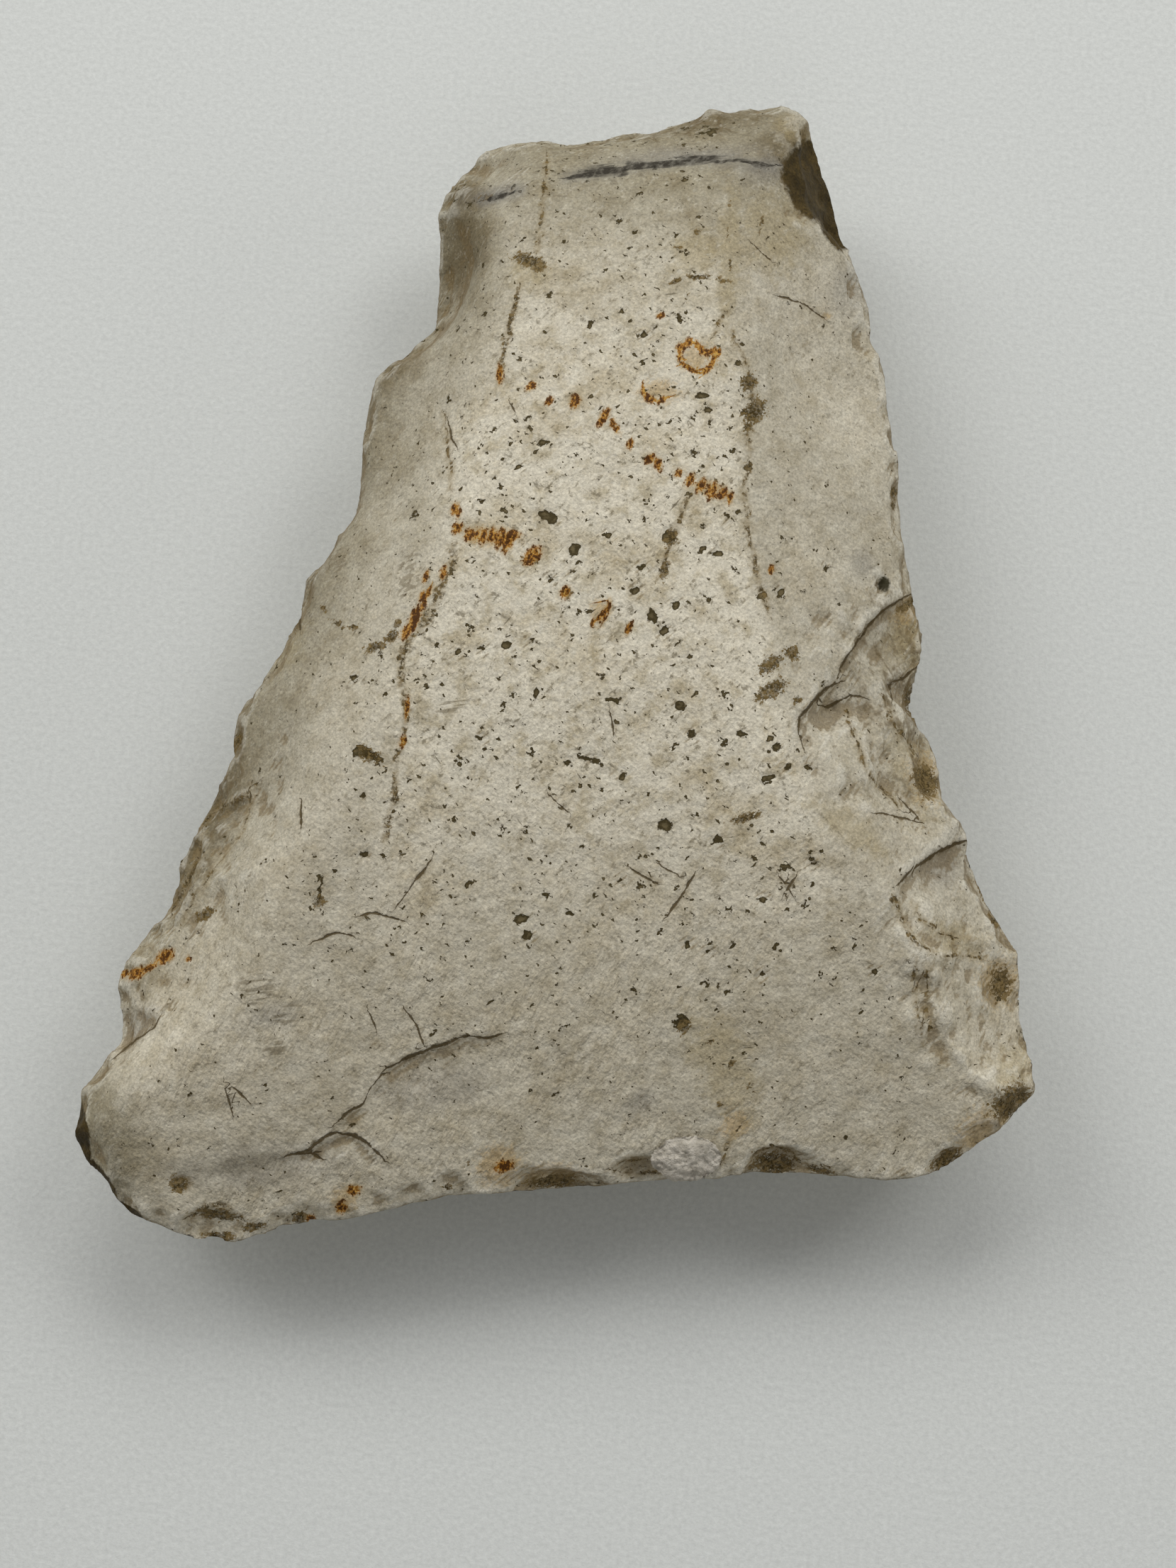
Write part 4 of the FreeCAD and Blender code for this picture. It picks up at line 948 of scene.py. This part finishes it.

    # The painted shadow of the step at the butt, streaked along the bevel, with grey stains beside it
    def paint_step_shadow(self):
        streak = self.noise(0.5, 3, 0.6, self.drawn_out(9, 6, 2.0))
        self.step_shadow = self.lines("step_shadow", streak, 0.1, 1.9, 1.7)
        self.step_shadow = self.times(self.step_shadow, self.ramp(self.grain, 0.38, 0.56, 0.55, 1))
        self.paint((0.23, 0.225, 0.205), self.area("step_shadow_near", 0.6, 1.3, (streak, 0.6)), 0.4)
        # Painted shadow: a near-black line along the step of the butt's bevel
        self.paint((0.046, 0.039, 0.028), self.step_shadow)

    # Cracks with a brown border, painted shadows along the steps, and the chatter of the grinding
    def paint_cracks_and_step_shadows(self):
        self.paint((0.27, 0.21, 0.12), self.area("crack_and_step_shadow_near", 1.0, 1.6, (self.grain, 0.9)), 0.4)
        # Dark lines that are real cracks, and painted shadow along the steps
        self.crack_and_step_shadow = self.lines("crack_and_step_shadow", self.breaks, 0.1, 1.45)
        self.paint((0.098, 0.068, 0.027), self.crack_and_step_shadow, 0.92)
        streaks = self.rise(self.noise(0.28, 1, 0.5, self.drawn_out(12, 8, 3.0)), 0.51, 0.57)
        self.paint((0.2, 0.16, 0.095), streaks, self.area("chatter", 0.42, 0.6), 0.55)

    # Facets of the knapped parts, with dirt along their borders, and the round hole
    def paint_facets(self):
        knapped = self.attribute("rough")
        shards = self.shaken(self.drawn_out(-62, 1.7, 4.0), 1.1, 1.2)
        self.shards = self.times(self.cells(shards, 2.1), knapped)
        border = self.fall(self.cells(shards, 2.1, "DISTANCE_TO_EDGE"), 0.02, 0.09)
        self.paint((0.15, 0.108, 0.05), border, knapped, self.rise(self.blotch, 0.4, 0.58), 0.65)
        self.paint((0.045, 0.038, 0.017), self.area("hole", 0.4, 0.62, (self.uneven, 0.6)))

    # The height of the relief, in millimetres
    def relief(self):
        return self.sum(
            (self.cells(self.angular, 0.8), 0.075), (self.cells(self.ragged, 0.36), 0.045),
            (self.shards, 0.45), (self.blotch, 0.06), (self.grain, 0.05), (self.fine, 0.018),
            (self.scratches, 0.05), (self.pitted, -0.08), (self.crack_and_step_shadow, -0.09), (self.stroke, -0.02),
            (self.step_shadow, -0.12), (self.dirt_line, -0.03), (self.rusted, -0.02),
        )

    # Ground flint is smoother, and what lies in pits and cracks is dull
    def roughness(self):
        filled = self.most(self.pitted, self.crack_and_step_shadow, self.dirt)
        rough = self.sum(self.by_ground(0.58, 0.5), (self.fleck, 0.12), (filled, 0.3))
        return self.joined("MINIMUM", (rough, 0.95))


def patinated_flint():
    flint = Flint()
    flint.paint_patina()
    flint.paint_stains()
    flint.paint_hollows()
    flint.paint_flecks()
    flint.paint_grain()
    flint.paint_pits()
    flint.paint_dirt()
    flint.paint_rust()
    flint.paint_step_shadow()
    flint.paint_cracks_and_step_shadows()
    flint.paint_facets()
    return flint.finish(flint.roughness(), flint.relief(), 0.12)


def chalk():
    tree = Tree("chalk_crust")
    lumps = tree.noise(0.9, 4, 0.65)
    crumbs = tree.noise(0.22, 3, 0.6)
    tree.colour = tree.mix(tree.rise(lumps, 0.35, 0.7), (0.46, 0.42, 0.345), (0.66, 0.61, 0.52))
    tree.paint((0.34, 0.3, 0.23), tree.rise(crumbs, 0.52, 0.7), 0.6)
    height = tree.sum((lumps, 0.25), (crumbs, 0.12))
    return tree.finish(tree.ramp(crumbs, 0.3, 0.7, 0.85, 1), height, 0.2)


def pale_floor():
    tree = Tree("floor_paper")
    cloud = tree.noise(60, 2)
    grain = tree.noise(0.4, 3, 0.7)
    colour = tree.mix(cloud, (0.71, 0.725, 0.695), (0.73, 0.745, 0.715))
    tree.colour = tree.scaled(colour, tree.ramp(grain, 0.3, 0.7, 0.92, 1.08))
    return tree.finish(tree.ramp(grain, 0.3, 0.7, 0.8, 0.9), tree.times(grain, 0.04), 0.4)


def crumbled_crust():
    crust = remeshed_copy("chalk_crust", "crust", crust_square)
    surface = Surface(crust.data)
    worn = waves(surface.points, 1.3, 5, 4) * 0.5 + 0.15
    surface.points -= surface.normals * np.clip(worn, 0, 0.4)[:, None]
    surface.settle()
    return crust


stone, surface = sculpted_stone()
write_marks(surface)
stone.data.materials.append(patinated_flint())
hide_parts("axe_head")
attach(stone, "root")

crust = crumbled_crust()
crust.data.materials.append(chalk())
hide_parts("chalk_crust")
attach(crust, "root")

# Floor, light and camera
floor_half = 1500 * MM
corners = [(-1, -1), (1, -1), (1, 1), (-1, 1)]
floor_mesh = bpy.data.meshes.new("floor")
floor_mesh.from_pydata([(x * floor_half, y * floor_half, 0) for x, y in corners], [], [(0, 1, 2, 3)])
floor_mesh.materials.append(pale_floor())
floor = placed("floor", floor_mesh)

room_light = 0.175
room = bpy.data.worlds.new("room")
room.use_nodes = True
room.node_tree.nodes["Background"].inputs["Color"].default_value = (1, 1, 1, 1)
room.node_tree.nodes["Background"].inputs["Strength"].default_value = room_light
bpy.context.scene.world = room

# Soft lights, each a square turned to the stone: place in metres, and watts
light_size = 0.4
soft_lights = {
    "window_middle": ((0.0, 0.67, 0.6), 2.0),
    "window_left": ((-0.47, 0.47, 0.6), 1.7),
    "window_right": ((0.47, 0.47, 0.6), 1.95),
    "left_panel": ((-0.675, 0.39, 0.45), 1.5),
    "right_panel": ((0.83, 0.0, 0.34), 0.75),
    "front_panel": ((0.0, -0.67, 0.6), 0.38),
}
for name, (place, power) in soft_lights.items():
    light = bpy.data.lights.new(name, "AREA")
    light.shape = "RECTANGLE"
    light.size = light.size_y = light_size
    light.energy = power
    lamp = placed(name, light)
    lamp.location = place
    lamp.rotation_euler = (-Vector(place)).to_track_quat("-Z", "Y").to_euler()

lens = bpy.data.cameras.new("camera")
lens.sensor_width = 36
lens.lens = lens.sensor_width / 2 / math.tan(math.radians(camera_view_angle / 2))
lens.clip_start = 10 * MM
camera = placed("camera", lens)
camera.location = camera_place * MM
camera.rotation_mode = "QUATERNION"
camera.rotation_quaternion = Vector(-camera_back).to_track_quat("-Z", "Y")
bpy.context.scene.camera = camera
bpy.context.scene.view_settings.view_transform = "Standard"
